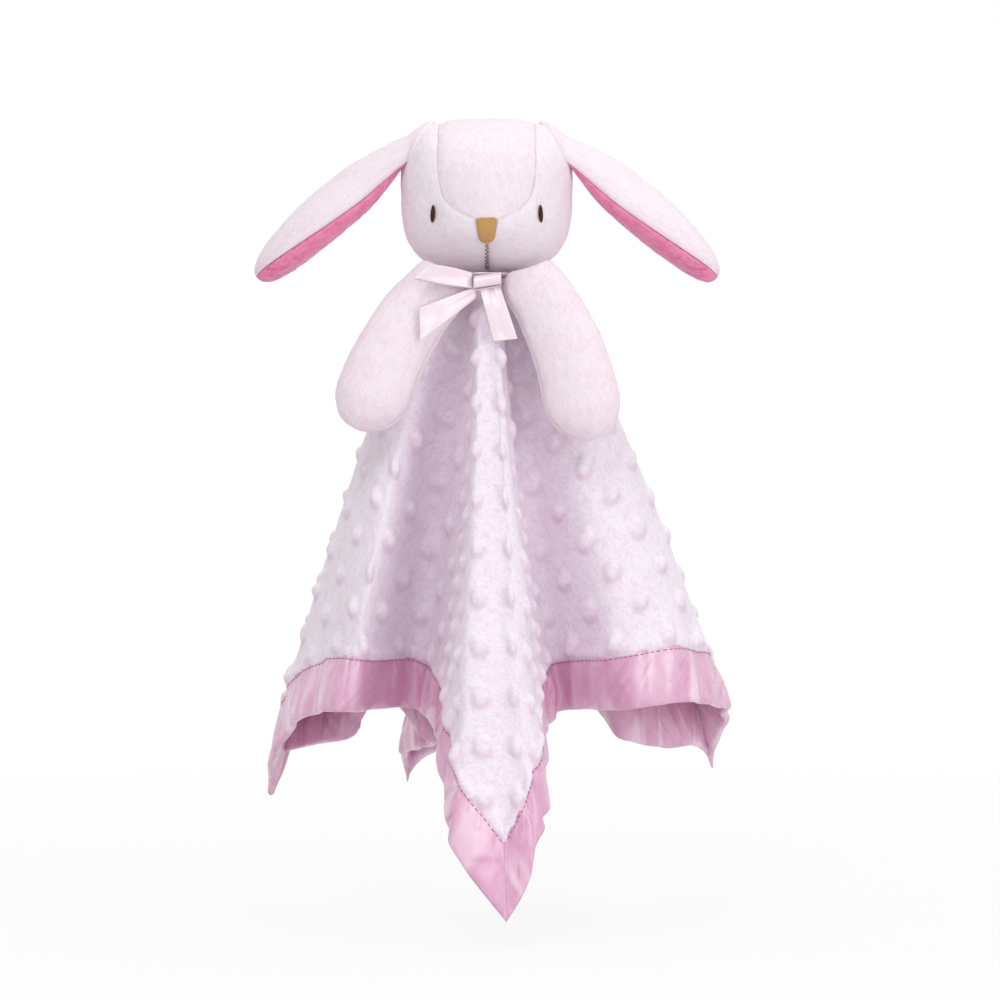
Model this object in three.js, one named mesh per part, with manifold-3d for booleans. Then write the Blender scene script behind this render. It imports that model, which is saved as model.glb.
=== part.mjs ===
// Comfort blanket lovey: a padded rabbit head with two ears, two padded arms and a ribbon bow,
// sewn to the gathered middle of a square dimple-plush blanket with a satin binding.
// Millimetres, +Z up, the face looks along -Y. The origin is the underside of the blanket's middle.
import * as THREE from "three";
import { mergeVertices } from "three/addons/utils/BufferGeometryUtils.js";
import Module from "manifold-3d";

const wasm = await Module();
wasm.setup();

// Blanket sizes
const blanketSide = 431.8;
const bindingWidth = 25.4;
const plushThickness = 1.6;
const liningThickness = 0.6;
const satinThickness = 0.6;
const gatherFlatRadius = 8.5;
const shoulderReach = 40;

// Head sizes
const headHalfWidth = 38;
const headBallRadius = 36;
const crownHeight = 33.4;
const muzzleRise = 3;
const coverThickness = 2;
const eyeHeight = 9;
const eyeWidth = 4.6;
const eyeSpacing = 48;
const noseWidth = 10.5;
const noseHeight = 12;
const threadRise = 0.9;
const mouthWidth = 1.4;
const mouthRise = 0.5;
const neckRingRadius = 13;
const neckThread = 1.1;

// Ear sizes
const earLength = 88;
const earWidth = 38;
const earRootWidth = 26;
const earThickness = 20;
const earArch = 3.6;
const earRootDepth = 10;

// Arm sizes
const armLength = 76;
const pawWidth = 30.5;
const pawThickness = 24;
const shoulderWidth = 18;
const shoulderThickness = 12;

// Ribbon sizes
const ribbonWidth = 9.5;
const ribbonThickness = 0.5;
const bandRadius = 17.2;
const bandWidth = 4.6;
const knotFront = 23.3;
const knotWidth = 8;
const knotHeight = 6;
const knotDepth = 5.2;
const rollWidth = 13.5;
const rollRadius = 3.5;
const rollOffset = 0.8;
const bowLoopLength = 24.5;
const bowLoopDepth = 7;
const bowLoopTwist = 50;
const leftTailLength = 28;
const leftTailEnd = 14.5;
const rightTailLength = 23;
const ribbonSag = 2;

// How the arms hang from the shoulders: places in mm and angles in degrees
const shoulderX = 21;
const leftShoulderY = 19.6;
const rightShoulderY = 21;
const shoulderZ = -1;
const armYaw = 8;
const armBend = 33;
const leftArmHang = 62;
const rightArmHang = 71;

// Clearances
const seamGap = 0.3;
const stuffingEase = 0.95;
const bindingEase = 0.5;
const hemEase = 1.6;
const chinEase = 0.7;

// Angles and joint ranges that shape the clearances, degrees
const earDroop = 39.5;
const earSweepBack = 7;
const earRootRoll = 30;
const earDropTravel = 6;
const earLiftTravel = 60;
const armLiftTravel = 75;

// Levels worked out from the layers
const blanketTop = liningThickness + seamGap + plushThickness;
const headLift = seamGap + mouthRise + seamGap;
const sweepClearance = headLift + chinEase;
const headReach = Math.max(headHalfWidth, headBallRadius) + sweepClearance;
const headCentre = blanketTop + headLift + headBallRadius;
const halfDiagonal = blanketSide / Math.SQRT2;
const degree = Math.PI / 180;

// Finishes
function finish(color, roughness) {
  return new THREE.MeshStandardMaterial({ color, roughness, metalness: 0 });
}

const plushPink = finish(0xf3e1ea, 0.95);
const dimplePink = finish(0xeedbe6, 0.95);
const satinPink = finish(0xdd95ba, 0.35);
const liningPink = finish(0xc9739f, 0.4);
const earPink = finish(0xe86fa0, 0.9);
const ribbonPink = finish(0xf3dbe6, 0.4);
const noseThread = finish(0xc9994e, 0.55);
const eyeThread = finish(0x4a1e1e, 0.5);
const mouthThread = finish(0x7a4a45, 0.6);
const fibreWhite = finish(0xf6f4f2, 1);
const seamThread = finish(0xe9c9d8, 0.7);

const joinDistance = 1e-4;

// A closed geometry from points and quads, with touching points joined and faces turned outward
function closedGeometry(points, quads) {
  const loose = new THREE.BufferGeometry();
  const corners = quads.flatMap(([a, b, c, d]) => [a, b, c, a, c, d]);
  loose.setAttribute("position", new THREE.Float32BufferAttribute(points.flatMap((p) => p.toArray()), 3));
  loose.setIndex(corners);
  const joined = mergeVertices(loose, joinDistance);
  const index = joined.index.array;
  const place = joined.attributes.position;
  const kept = [];
  let volume = 0;
  const a = new THREE.Vector3();
  const b = new THREE.Vector3();
  const c = new THREE.Vector3();
  for (let i = 0; i < index.length; i += 3) {
    const [p, q, r] = [index[i], index[i + 1], index[i + 2]];
    if (p === q || q === r || r === p) continue;
    kept.push(p, q, r);
    a.fromBufferAttribute(place, p);
    b.fromBufferAttribute(place, q);
    c.fromBufferAttribute(place, r);
    volume += a.dot(b.cross(c));
  }
  joined.setIndex(volume < 0 ? kept.reverse() : kept);
  joined.computeVertexNormals();
  return joined;
}

// A cloth panel: point(u, v, 0) is its outer face and point(u, v, 1) its inner face.
// From foldRow on, the squares are split along their other diagonal.
function panel(point, us, vs, ring = false, foldRow = Infinity) {
  const points = [];
  for (const layer of [0, 1]) {
    for (const v of vs) {
      for (const u of us) points.push(point(u, v, layer));
    }
  }
  const wide = us.length;
  const tall = vs.length;
  const at = (i, j, layer) => (layer * tall + j) * wide + (i % wide);
  const quads = [];
  const across = ring ? wide : wide - 1;
  for (let i = 0; i < across; i += 1) {
    for (let j = 0; j < tall - 1; j += 1) {
      const outer = [at(i, j, 0), at(i + 1, j, 0), at(i + 1, j + 1, 0), at(i, j + 1, 0)];
      const inner = [at(i, j, 1), at(i, j + 1, 1), at(i + 1, j + 1, 1), at(i + 1, j, 1)];
      if (j >= foldRow) [outer, inner].forEach((quad) => quad.push(quad.shift()));
      quads.push(outer, inner);
    }
    quads.push([at(i + 1, 0, 0), at(i, 0, 0), at(i, 0, 1), at(i + 1, 0, 1)]);
    quads.push([at(i, tall - 1, 0), at(i + 1, tall - 1, 0), at(i + 1, tall - 1, 1), at(i, tall - 1, 1)]);
  }
  for (let j = 0; j < tall - 1 && !ring; j += 1) {
    quads.push([at(0, j, 0), at(0, j + 1, 0), at(0, j + 1, 1), at(0, j, 1)]);
    quads.push([at(wide - 1, j + 1, 0), at(wide - 1, j, 0), at(wide - 1, j, 1), at(wide - 1, j + 1, 1)]);
  }
  return closedGeometry(points, quads);
}

// A filled form: rings of points that close to a point, or a flat, at both ends
function filling(point, us, vs) {
  const points = [];
  for (const v of vs) {
    for (const u of us) points.push(point(u, v));
  }
  const wide = us.length;
  const tall = vs.length;
  const middles = [vs[0], vs[tall - 1]].map((v) => {
    const sum = new THREE.Vector3();
    for (const u of us) sum.add(point(u, v));
    return points.push(sum.divideScalar(wide)) - 1;
  });
  const at = (i, j) => j * wide + (i % wide);
  const quads = [];
  for (let i = 0; i < wide; i += 1) {
    for (let j = 0; j < tall - 1; j += 1) {
      quads.push([at(i, j), at(i + 1, j), at(i + 1, j + 1), at(i, j + 1)]);
    }
    quads.push([middles[0], at(i + 1, 0), at(i, 0), middles[0]]);
    quads.push([middles[1], at(i, tall - 1), at(i + 1, tall - 1), middles[1]]);
  }
  return closedGeometry(points, quads);
}

// Evenly spaced values from first to last
function steps(first, last, count) {
  return Array.from({ length: count + 1 }, (_, i) => first + ((last - first) * i) / count);
}

// Evenly spaced angles round a full turn, in degrees
function turn(count) {
  return Array.from({ length: count }, (_, i) => (360 * i) / count);
}

// A smooth curve through rows that begin with their position, repeating after period if one is given
function smoothRow(rows, where, period = 0) {
  const count = rows.length;
  const spot = period ? ((where % period) + period) % period : where;
  const row = (k) => {
    if (!period) return rows[Math.min(Math.max(k, 0), count - 1)];
    const lap = Math.floor(k / count);
    const base = rows[k - lap * count];
    return [base[0] + lap * period, ...base.slice(1)];
  };
  let k = 0;
  while (k < count - 1 && rows[k + 1][0] <= spot) k += 1;
  if (!period) k = Math.min(k, count - 2);
  const [before, from, to, after] = [row(k - 1), row(k), row(k + 1), row(k + 2)];
  const span = to[0] - from[0];
  const t = (spot - from[0]) / span;
  return from.slice(1).map((value, column) => {
    const c = column + 1;
    const startSlope = ((to[c] - before[c]) / (to[0] - before[0])) * span;
    const endSlope = ((after[c] - from[c]) / (after[0] - from[0])) * span;
    const rise = to[c] - value;
    return value + t * (startSlope + t * (3 * rise - 2 * startSlope - endSlope
      + t * (startSlope + endSlope - 2 * rise)));
  });
}

function toManifold(geometry) {
  const bare = geometry.clone();
  bare.deleteAttribute("normal");
  bare.deleteAttribute("uv");
  const merged = mergeVertices(bare);
  const vertProperties = new Float32Array(merged.attributes.position.array);
  const triVerts = new Uint32Array(merged.index.array);
  return new wasm.Manifold(new wasm.Mesh({ numProp: 3, vertProperties, triVerts }));
}

function fromManifold(solid) {
  const mesh = solid.getMesh();
  const geometry = new THREE.BufferGeometry();
  geometry.setAttribute("position", new THREE.Float32BufferAttribute(mesh.vertProperties, 3));
  geometry.setIndex(Array.from(mesh.triVerts));
  geometry.computeVertexNormals();
  return geometry;
}

// Cuts a geometry by every cutter, and keeps the largest piece that is left
function cut(geometry, cutters) {
  let solid = toManifold(geometry);
  for (const cutter of cutters) solid = solid.subtract(cutter);
  const pieces = solid.decompose();
  pieces.sort((a, b) => b.volume() - a.volume());
  return fromManifold(pieces[0]);
}

// Folds of the hung blanket, one row per fold edge, clockwise from the front corner seen from above:
// flat angle from the front corner, how far the cloth leans in X and Y for each mm it falls along,
// and its shoulder, the share of the shoulder reach that it runs out level before it turns down
const foldShares = [
  [0, 0.03, -0.203, 0.5],
  [6, -0.042, -0.21, 0.5],
  [12, -0.06, -0.156, 0.45],
  [28, -0.075, 0.016, 0.34],
  [43, -0.117, 0.205, 0.31],
  [50, -0.163, 0.158, 0.4],
  [60, -0.206, -0.06, 0.62],
  [69, -0.23, 0.036, 0.88],
  [78, -0.266, 0.196, 0.95],
  [84, -0.285, 0.285, 0.9],
  [90, -0.275, 0.372, 0.85],
  [96, -0.263, 0.36, 0.75],
  [103, -0.25, 0.28, 0.55],
  [111, -0.235, 0.217, 0.34],
  [119, -0.242, 0.279, 0.42],
  [128, -0.237, 0.352, 0.52],
  [137, -0.206, 0.354, 0.5],
  [146, -0.17, 0.268, 0.4],
  [155, -0.103, 0.176, 0.33],
  [164, -0.135, 0.242, 0.5],
  [172, -0.162, 0.32, 0.8],
  [180, -0.155, 0.375, 1.1],
  [187, -0.105, 0.345, 0.9],
  [194, -0.05, 0.265, 0.55],
  [203, -0.01, 0.2, 0.33],
  [213, 0.01, 0.285, 0.47],
  [222, 0.055, 0.37, 0.58],
  [231, 0.13, 0.37, 0.58],
  [240, 0.19, 0.285, 0.45],
  [249, 0.235, 0.215, 0.33],
  [258, 0.262, 0.28, 0.55],
  [264, 0.262, 0.375, 0.8],
  [270, 0.275, 0.445, 0.9],
  [276, 0.325, 0.375, 0.95],
  [282, 0.346, 0.26, 0.98],
  [291, 0.308, 0.07, 0.88],
  [300, 0.222, 0.006, 0.62],
  [310, 0.154, 0.163, 0.38],
  [317, 0.117, 0.181, 0.31],
  [332, 0.098, -0.002, 0.34],
  [348, 0.097, -0.16, 0.45],
  [354, 0.077, -0.21, 0.5],
];
const foldColumns = 60;
const bindingColumns = foldColumns / 4;
const columnAngle = 360 / foldColumns;
const normalProbeStep = 0.5;
const bindingFoldSpot = 3;
const shoulderRowShares = [0, 0.12, 0.3, 0.55, 1, 1.8];

// Distance from the middle of the cloth to its edge at a flat angle, less an inset from the edge
function edgeDistance(angle, inset = 0) {
  const fromCorner = (((angle % 90) + 90) % 90) * degree;
  return (halfDiagonal - inset * Math.SQRT2) / (Math.cos(fromCorner) + Math.sin(fromCorner));
}

// The outer face of the hung cloth at a flat angle and a distance from its middle
function drape(angle, distance) {
  const [leanX, leanY, shoulderShare] = smoothRow(foldShares, angle, 360);
  const flat = (-90 - angle) * degree;
  if (distance <= gatherFlatRadius) {
    return new THREE.Vector3(Math.cos(flat) * distance, Math.sin(flat) * distance, blanketTop);
  }
  const bend = shoulderShare * shoulderReach - gatherFlatRadius;
  const run = distance - gatherFlatRadius;
  const level = bend * (1 - Math.exp(-run / bend));
  const out = gatherFlatRadius + level;
  const fall = run - level;
  const drop = Math.sqrt(1 - leanX ** 2 - leanY ** 2);
  return new THREE.Vector3(
    Math.cos(flat) * out + leanX * fall,
    Math.sin(flat) * out + leanY * fall,
    blanketTop - drop * fall,
  );
}

// A point at a depth under the cloth's outer face, square to the cloth
function under(angle, distance, depth) {
  const here = drape(angle, distance);
  if (distance <= gatherFlatRadius) return here.setZ(here.z - depth);
  const along = drape(angle, distance + normalProbeStep).sub(drape(angle, distance - normalProbeStep));
  const side = drape(angle + columnAngle, distance).sub(drape(angle - columnAngle, distance));
  const normal = along.cross(side).normalize();
  return here.addScaledVector(normal, depth);
}

// Rows of the cloth from its middle to its edge, finer where it turns down
function clothRows(angle, edgeInset) {
  const innerEdge = edgeDistance(angle, bindingWidth);
  const edge = edgeDistance(angle) - edgeInset;
  const fromMiddle = shoulderRowShares.map((share) => gatherFlatRadius + share * shoulderReach);
  return [0, ...fromMiddle, (fromMiddle.at(-1) + innerEdge) / 2, innerEdge, (innerEdge + edge) / 2, edge];
}

// A whole layer of the blanket between two depths
function clothLayer(topDepth, thickness) {
  const edgeInset = hemEase + satinThickness;
  const rowCount = clothRows(0, edgeInset).length;
  return panel(
    (angle, row, layer) => under(angle, clothRows(angle, edgeInset)[row], topDepth + layer * thickness),
    turn(foldColumns),
    steps(0, rowCount - 1, rowCount - 1),
    true,
  );
}

// One of the four binding strips: satin folded over the edge, from mitre to mitre
function bindingStrip(side) {
  const face = bindingEase + satinThickness;
  const section = (angle, layer) => {
    const inner = edgeDistance(angle, bindingWidth);
    const outer = edgeDistance(angle);
    const edge = layer ? outer - satinThickness : outer;
    const skin = layer ? bindingEase : face;
    const middle = (inner + outer - face) / 2;
    return [
      [inner, -skin],
      [middle, -skin],
      [edge, -skin],
      [edge, blanketTop + skin],
      [middle, blanketTop + skin],
      [inner, blanketTop + skin],
    ];
  };
  const place = (column, spot, layer) => {
    const angle = column * columnAngle;
    const [distance, depth] = section(angle, layer)[spot];
    return under(angle + side * 90, distance, depth);
  };
  // At each mitre the strip stops a seam's gap short of its neighbour
  const mitre = (column, next, spot, layer) => {
    const here = place(column, spot, layer);
    const inward = place(next, spot, layer);
    return here.lerp(inward, seamGap / here.distanceTo(inward));
  };
  return panel(
    (column, spot, layer) => {
      if (column === 0) return mitre(0, 1, spot, layer);
      if (column === bindingColumns) return mitre(bindingColumns, bindingColumns - 1, spot, layer);
      return place(column, spot, layer);
    },
    steps(0, bindingColumns, bindingColumns),
    steps(0, 5, 5),
    false,
    bindingFoldSpot,
  );
}

// Head form. The nod angle runs round the X axis: 0 faces forward, 90 is the crown, -90 is the neck.
const muzzleAngle = -28;
const muzzleSpread = 22;
const chinSpread = 14;
const crownSquareness = 3.6;
const faceRoundness = 2;
const muzzleRows = 6;
const crownRows = 18;
const napeRows = 6;
const sideSteps = 8;

function headPoint(nodAngle, sideAngle, depth) {
  const lift = Math.sin(nodAngle * degree);
  const up = Math.max(lift, 0);
  const nod = nodAngle > 180 ? nodAngle - 360 : nodAngle;
  const toMuzzle = (nod - muzzleAngle) / (nod < muzzleAngle ? chinSpread : muzzleSpread);
  const rise = muzzleRise * Math.exp(-(toMuzzle ** 2)) * Math.cos(sideAngle * degree) ** 2;
  const radius = headBallRadius + (crownHeight - headBallRadius) * up * up + rise - depth;
  const squareness = faceRoundness + (crownSquareness - faceRoundness) * up;
  const across = Math.abs(Math.sin(sideAngle * degree)) ** (2 / squareness);
  const around = Math.abs(Math.cos(sideAngle * degree)) ** (2 / squareness);
  return new THREE.Vector3(
    Math.sign(sideAngle) * across * (headHalfWidth - depth),
    -Math.cos(nodAngle * degree) * around * radius,
    Math.sin(nodAngle * degree) * around * radius,
  );
}

// The side angle at which the head is a given share of its half width across
function sideAngleFor(share, nodAngle) {
  const up = Math.max(Math.sin(nodAngle * degree), 0);
  const squareness = faceRoundness + (crownSquareness - faceRoundness) * up;
  return Math.asin(share ** (squareness / 2)) / degree;
}

// Half width of the panel over forehead, crown and nape, as a share of the head's half width
const gussetShares = [
  [-28, 0.03],
  [-22, 0.16],
  [-17, 0.36],
  [-8, 0.5],
  [10, 0.57],
  [45, 0.58],
  [90, 0.56],
  [140, 0.54],
  [190, 0.42],
  [230, 0.24],
  [256, 0.05],
];
const eyeNodAngle = -23.5;
const eyeSpread = 1.25;
const noseNodAngle = -30;
const mouthStartAngle = -41;
const mouthEndAngle = -71;
const gussetStart = gussetShares[0][0];
const gussetEnd = gussetShares.at(-1)[0];
const muzzleEnd = 10;

function seamShare(nodAngle) {
  const halfSeam = seamGap / headHalfWidth;
  if (nodAngle < gussetStart || nodAngle > gussetEnd) return halfSeam;
  return smoothRow(gussetShares, nodAngle)[0] + halfSeam;
}

// Rows round the head, shared by every layer so that their faces stay side by side
function gussetRows() {
  return [...steps(gussetStart, muzzleEnd, muzzleRows), ...steps(muzzleEnd, gussetEnd, crownRows).slice(1)];
}

function headRows() {
  const nape = steps(gussetEnd, gussetStart + 360, napeRows + 1).slice(1, -1);
  return [...gussetRows(), ...nape];
}

function headSidePanel(side) {
  return panel(
    (nodAngle, share, layer) => {
      const seam = sideAngleFor(seamShare(nodAngle), nodAngle);
      return headPoint(nodAngle, side * (seam + (90 - seam) * share), layer * coverThickness);
    },
    headRows(),
    steps(0, 1, sideSteps - 1),
    true,
  );
}

function headGusset() {
  return panel(
    (share, nodAngle, layer) => {
      const half = smoothRow(gussetShares, nodAngle)[0] - seamGap / headHalfWidth;
      const sideAngle = sideAngleFor(half * Math.abs(share), nodAngle);
      return headPoint(nodAngle, Math.sign(share) * sideAngle, layer * coverThickness);
    },
    steps(-1, 1, sideSteps - 2),
    gussetRows(),
  );
}

function headStuffing() {
  const depth = coverThickness + stuffingEase;
  return filling(
    (nodAngle, sideAngle) => headPoint(nodAngle, sideAngle, depth),
    headRows(),
    steps(-90, 90, 2 * sideSteps - 2),
  );
}

// A stitched patch that follows the head: its outline is a ring of places in mm across and up
function stitchedPatch(nodAngle, sideAngle, outline, ringShares = [0, 0.6, 1]) {
  const heightAngle = 1 / headBallRadius / degree;
  return panel(
    (spot, share, layer) => {
      const [across, up] = outline(spot);
      const crown = threadRise * Math.sqrt(1 - (share * 0.9) ** 2);
      const nod = nodAngle + up * share * heightAngle;
      const side = sideAngle + across * share * heightAngle;
      return headPoint(nod, side, layer ? -seamGap : -seamGap - crown);
    },
    turn(16),
    ringShares,
    true,
  );
}

// The shield of the nose, as shares of its half sizes: wide at the top, drawn to a point below
function noseOutline(spot) {
  const up = Math.sin(spot * degree);
  const across = Math.cos(spot * degree);
  const narrowing = up < 0 ? 1 + 0.55 * up : 1;
  return [across * narrowing * (noseWidth / 2), up * (noseHeight / 2)];
}

// Ear form in its own frame: X along the ear, Y across it and Z out of its plush face.
// At the root the ear is rolled to show its plush face, and towards the tip the roll dies away.
const earWidestShare = 0.58;
const earRootThickShare = 0.65;
const earTipPower = 2.3;
const earUnrollPower = 1.5;

function earProfile(share) {
  if (share <= earWidestShare) {
    const grow = Math.sin((share / earWidestShare) * (Math.PI / 2)) ** 2;
    const half = (earRootWidth + (earWidth - earRootWidth) * grow) / 2;
    return [half, (earThickness / 2) * (earRootThickShare + (1 - earRootThickShare) * grow)];
  }
  const toTip = (share - earWidestShare) / (1 - earWidestShare);
  const closing = Math.max(1 - toTip ** earTipPower, 0) ** (1 / earTipPower);
  return [(earWidth / 2) * closing, (earThickness / 2) * Math.max(closing, 0)];
}

function earHalf(face) {
  return panel(
    (across, share, layer) => {
      const [half, thick] = earProfile(share);
      const reach = half * Math.sin((across * Math.PI) / 2);
      const puff = layer ? 0 : thick * Math.cos((across * Math.PI) / 2);
      const lift = face * (seamGap / 2 + puff);
      const roll = earRootRoll * (1 - share) ** earUnrollPower * degree;
      const arch = 4 * earArch * share * (1 - share);
      return new THREE.Vector3(
        share * (earLength + earRootDepth) - earRootDepth,
        reach * Math.cos(roll) - lift * Math.sin(roll),
        reach * Math.sin(roll) + lift * Math.cos(roll) + arch,
      );
    },
    steps(-1, 1, 8),
    steps(0, 1, 12).map((share) => Math.sin((share * Math.PI) / 2)),
  );
}

// Where the ear leaves the head: its middle on the side of the crown, its hinge line along its top seam
const earNodAngle = 86;
const earSideShare = 0.96;
const earHingeShare = 0.72;

function earRoot(side) {
  return headPoint(earNodAngle, side * sideAngleFor(earSideShare, earNodAngle), 0);
}

function earHinge(side) {
  return headPoint(earNodAngle, side * sideAngleFor(earHingeShare, earNodAngle), 0);
}

// From the ear's own frame to the head's frame
function earPlacement(side) {
  const place = new THREE.Matrix4().makeTranslation(earRoot(side));
  if (side < 0) place.multiply(new THREE.Matrix4().makeScale(-1, 1, 1));
  place.multiply(new THREE.Matrix4().makeRotationZ(earSweepBack * degree));
  place.multiply(new THREE.Matrix4().makeRotationY(earDroop * degree));
  return place;
}

// The head with its seam gap, turned about an ear's hinge by the angles that the ear travels
function headSweptFor(side) {
  const hinge = earHinge(side);
  const head = toManifold(filling(
    (nodAngle, sideAngle) => headPoint(nodAngle, sideAngle, -seamGap),
    headRows(),
    steps(-90, 90, 2 * sideSteps),
  ));
  const travels = [0, -earDropTravel / 2, -earDropTravel, earLiftTravel / 3, earLiftTravel];
  return travels.map((travel) => head
    .translate([-hinge.x, -hinge.y, -hinge.z])
    .rotate([0, side * travel, 0])
    .translate([hinge.x, hinge.y, hinge.z]));
}

// Arm form in its own frame: X out of the shoulder, Y across the arm and Z out of its front
const armGrowthShares = [
  [0, 0],
  [0.12, 0.14],
  [0.35, 0.5],
  [0.6, 0.82],
  [0.82, 1],
  [1, 0.97],
];
const armLiftSteps = 3;
const armSeamTurn = 20;

// Half width and half thickness of the arm at a share of its length, closing to a point at both ends
function armProfile(share) {
  const grow = smoothRow(armGrowthShares, share)[0];
  const width = shoulderWidth + (pawWidth - shoulderWidth) * grow;
  const thick = shoulderThickness + (pawThickness - shoulderThickness) * grow;
  const pawStart = 1 - pawWidth / 2 / armLength;
  const shoulderEnd = shoulderWidth / 2 / armLength;
  const toPaw = Math.max(share - pawStart, 0) / (1 - pawStart);
  const toShoulder = Math.max(shoulderEnd - share, 0) / shoulderEnd;
  const closing = Math.sqrt(Math.max(1 - toPaw ** 2 - toShoulder ** 2, 0));
  return [width / 2, thick / 2, closing];
}

// The arm's middle line is an arc, level with the arm's own X axis at half its length
function armMiddle(along) {
  const bendRadius = armLength / (armBend * degree);
  const heading = (along / armLength - 0.5) * armBend * degree;
  const half = (armBend * degree) / 2;
  return {
    x: bendRadius * (Math.sin(heading) + Math.sin(half)),
    y: bendRadius * (Math.cos(heading) - Math.cos(half)),
    heading: -heading,
  };
}

function armPoint(share, ringAngle, depth, lift) {
  const [halfWidth, halfThickness, closing] = armProfile(share);
  const end = shoulderWidth / 2;
  const along = -end + depth + share * (armLength + end - 2 * depth);
  const { x, y, heading } = armMiddle(along);
  const across = Math.cos(ringAngle * degree) * (halfWidth - depth) * closing;
  const out = Math.sin(ringAngle * degree) * (halfThickness - depth) * closing;
  return new THREE.Vector3(x - Math.sin(heading) * across, y + Math.cos(heading) * across, out + lift);
}

function armShares(count) {
  return steps(0, 1, count).map((share) => (1 - Math.cos(share * Math.PI)) / 2);
}

function armCover(face) {
  return panel(
    (ringAngle, share, layer) => {
      const ring = face * ringAngle - armSeamTurn;
      return armPoint(share, ring, layer * coverThickness, (face * seamGap) / 2);
    },
    steps(0, 180, 8),
    armShares(12),
  );
}

function armStuffing() {
  return filling(
    (ringAngle, share) => armPoint(share, ringAngle, coverThickness + stuffingEase, 0),
    turn(14),
    armShares(10),
  );
}

// Where an arm is sewn on, and turns
function shoulder(side) {
  return new THREE.Vector3(side * shoulderX, side < 0 ? -leftShoulderY : -rightShoulderY, shoulderZ);
}

// From an arm's own frame to the blanket's frame
function armPlacement(side) {
  const place = new THREE.Matrix4().makeTranslation(shoulder(side));
  if (side < 0) place.multiply(new THREE.Matrix4().makeScale(-1, 1, 1));
  place.multiply(new THREE.Matrix4().makeRotationZ(-armYaw * degree));
  place.multiply(new THREE.Matrix4().makeRotationY((side < 0 ? leftArmHang : rightArmHang) * degree));
  place.multiply(new THREE.Matrix4().makeRotationX(Math.PI / 2));
  return place;
}

// The space that the head can sweep as it turns, at the angles that an arm lifts through
function headSpaceFor(side) {
  const ball = new THREE.SphereGeometry(1, 48, 32);
  ball.scale(headReach, headReach, headBallRadius + sweepClearance);
  const space = toManifold(ball).translate([0, 0, headCentre]);
  const pivot = shoulder(side).toArray();
  return steps(0, armLiftTravel, armLiftSteps).map((travel) => space
    .translate(pivot.map((place) => -place))
    .rotate([0, 0, side * armYaw])
    .rotate([0, side * travel, 0])
    .rotate([0, 0, -side * armYaw])
    .translate(pivot));
}

// Ribbon pieces
const ribbonRows = 8;
const tailGatherShare = 0.55;
const tabThickness = 1.6;
const bowHeight = -0.7;

function bandSlope() {
  const ball = headBallRadius + sweepClearance;
  return Math.atan2((ball * bandRadius) / headReach ** 2, Math.sqrt(1 - (bandRadius / headReach) ** 2));
}

// The neck band is a cone that lies just under the head's sweep
function neckBand() {
  const ball = headBallRadius + sweepClearance;
  const level = Math.sqrt(1 - (bandRadius / headReach) ** 2);
  const slope = bandSlope();
  const height = headCentre - ball * level;
  const half = bandWidth / 2;
  const profile = [[-half, 0], [-half, -ribbonThickness], [half, -ribbonThickness], [half, 0], [-half, 0]];
  const lathe = new THREE.LatheGeometry(profile.map(([along, out]) => new THREE.Vector2(
    bandRadius + along * Math.cos(slope) - out * Math.sin(slope),
    height + along * Math.sin(slope) + out * Math.cos(slope),
  )), 40);
  lathe.rotateX(Math.PI / 2);
  return lathe;
}

// The knot's block behind the roll, with the turn of ribbon that climbs to the neck band
function bowKnot() {
  const block = new THREE.BoxGeometry(knotWidth, knotDepth, knotHeight);
  block.translate(rollOffset, knotDepth / 2 - knotFront, bowHeight);
  const ball = headBallRadius + sweepClearance;
  const bandUnder = headCentre - ball * Math.sqrt(1 - (bandRadius / headReach) ** 2);
  const tabTop = bandUnder - ribbonThickness / Math.cos(bandSlope()) - 2 * seamGap;
  const tabBottom = bowHeight;
  const tab = new THREE.BoxGeometry(ribbonWidth / 2, tabThickness, tabTop - tabBottom);
  tab.translate(rollOffset, -bandRadius - tabThickness / 2, (tabTop + tabBottom) / 2);
  return fromManifold(toManifold(block).add(toManifold(tab)));
}

// The bow's right loop, rolled up on itself in front of the knot with its mouth to the right
const rollSides = 16;

function bowRoll() {
  const out = knotFront + seamGap + rollRadius;
  return panel(
    (angle, x, layer) => {
      const radius = rollRadius - layer * ribbonThickness;
      return new THREE.Vector3(
        rollOffset + x,
        -out + Math.cos(angle * degree) * radius,
        bowHeight + Math.sin(angle * degree) * radius,
      );
    },
    turn(rollSides),
    [-rollWidth / 2, rollWidth / 2],
    true,
  );
}

// The bow's left loop: ribbon that runs out from the knot, turns back on itself and comes home
const loopStartShare = 0.4;
const loopHeading = new THREE.Vector3(-0.87, -0.45, 0.13).normalize();
const loopSide = new THREE.Vector3(-loopHeading.y, loopHeading.x, 0).normalize().negate();

function bowLoop() {
  const startX = rollOffset - rollWidth / 2 - seamGap - bowLoopDepth / 8;
  const start = new THREE.Vector3(startX, -knotFront - rollRadius / 2, bowHeight);
  return panel(
    (u, turned, layer) => {
      const swing = turned * degree;
      const out = (bowLoopLength - layer * ribbonThickness) * Math.sin(swing);
      const belly = loopStartShare + (1 - loopStartShare) * Math.sin(swing);
      const side = (bowLoopDepth / 2 - layer * ribbonThickness) * Math.cos(swing) * belly;
      const twist = bowLoopTwist * Math.sin(swing) * degree;
      const across = new THREE.Vector3(Math.sin(twist), 0, Math.cos(twist));
      return start.clone()
        .addScaledVector(loopHeading, out)
        .addScaledVector(loopSide, side)
        .addScaledVector(across, u * ribbonWidth);
    },
    [-0.5, 0.5],
    steps(0, 180, 14),
  );
}

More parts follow.
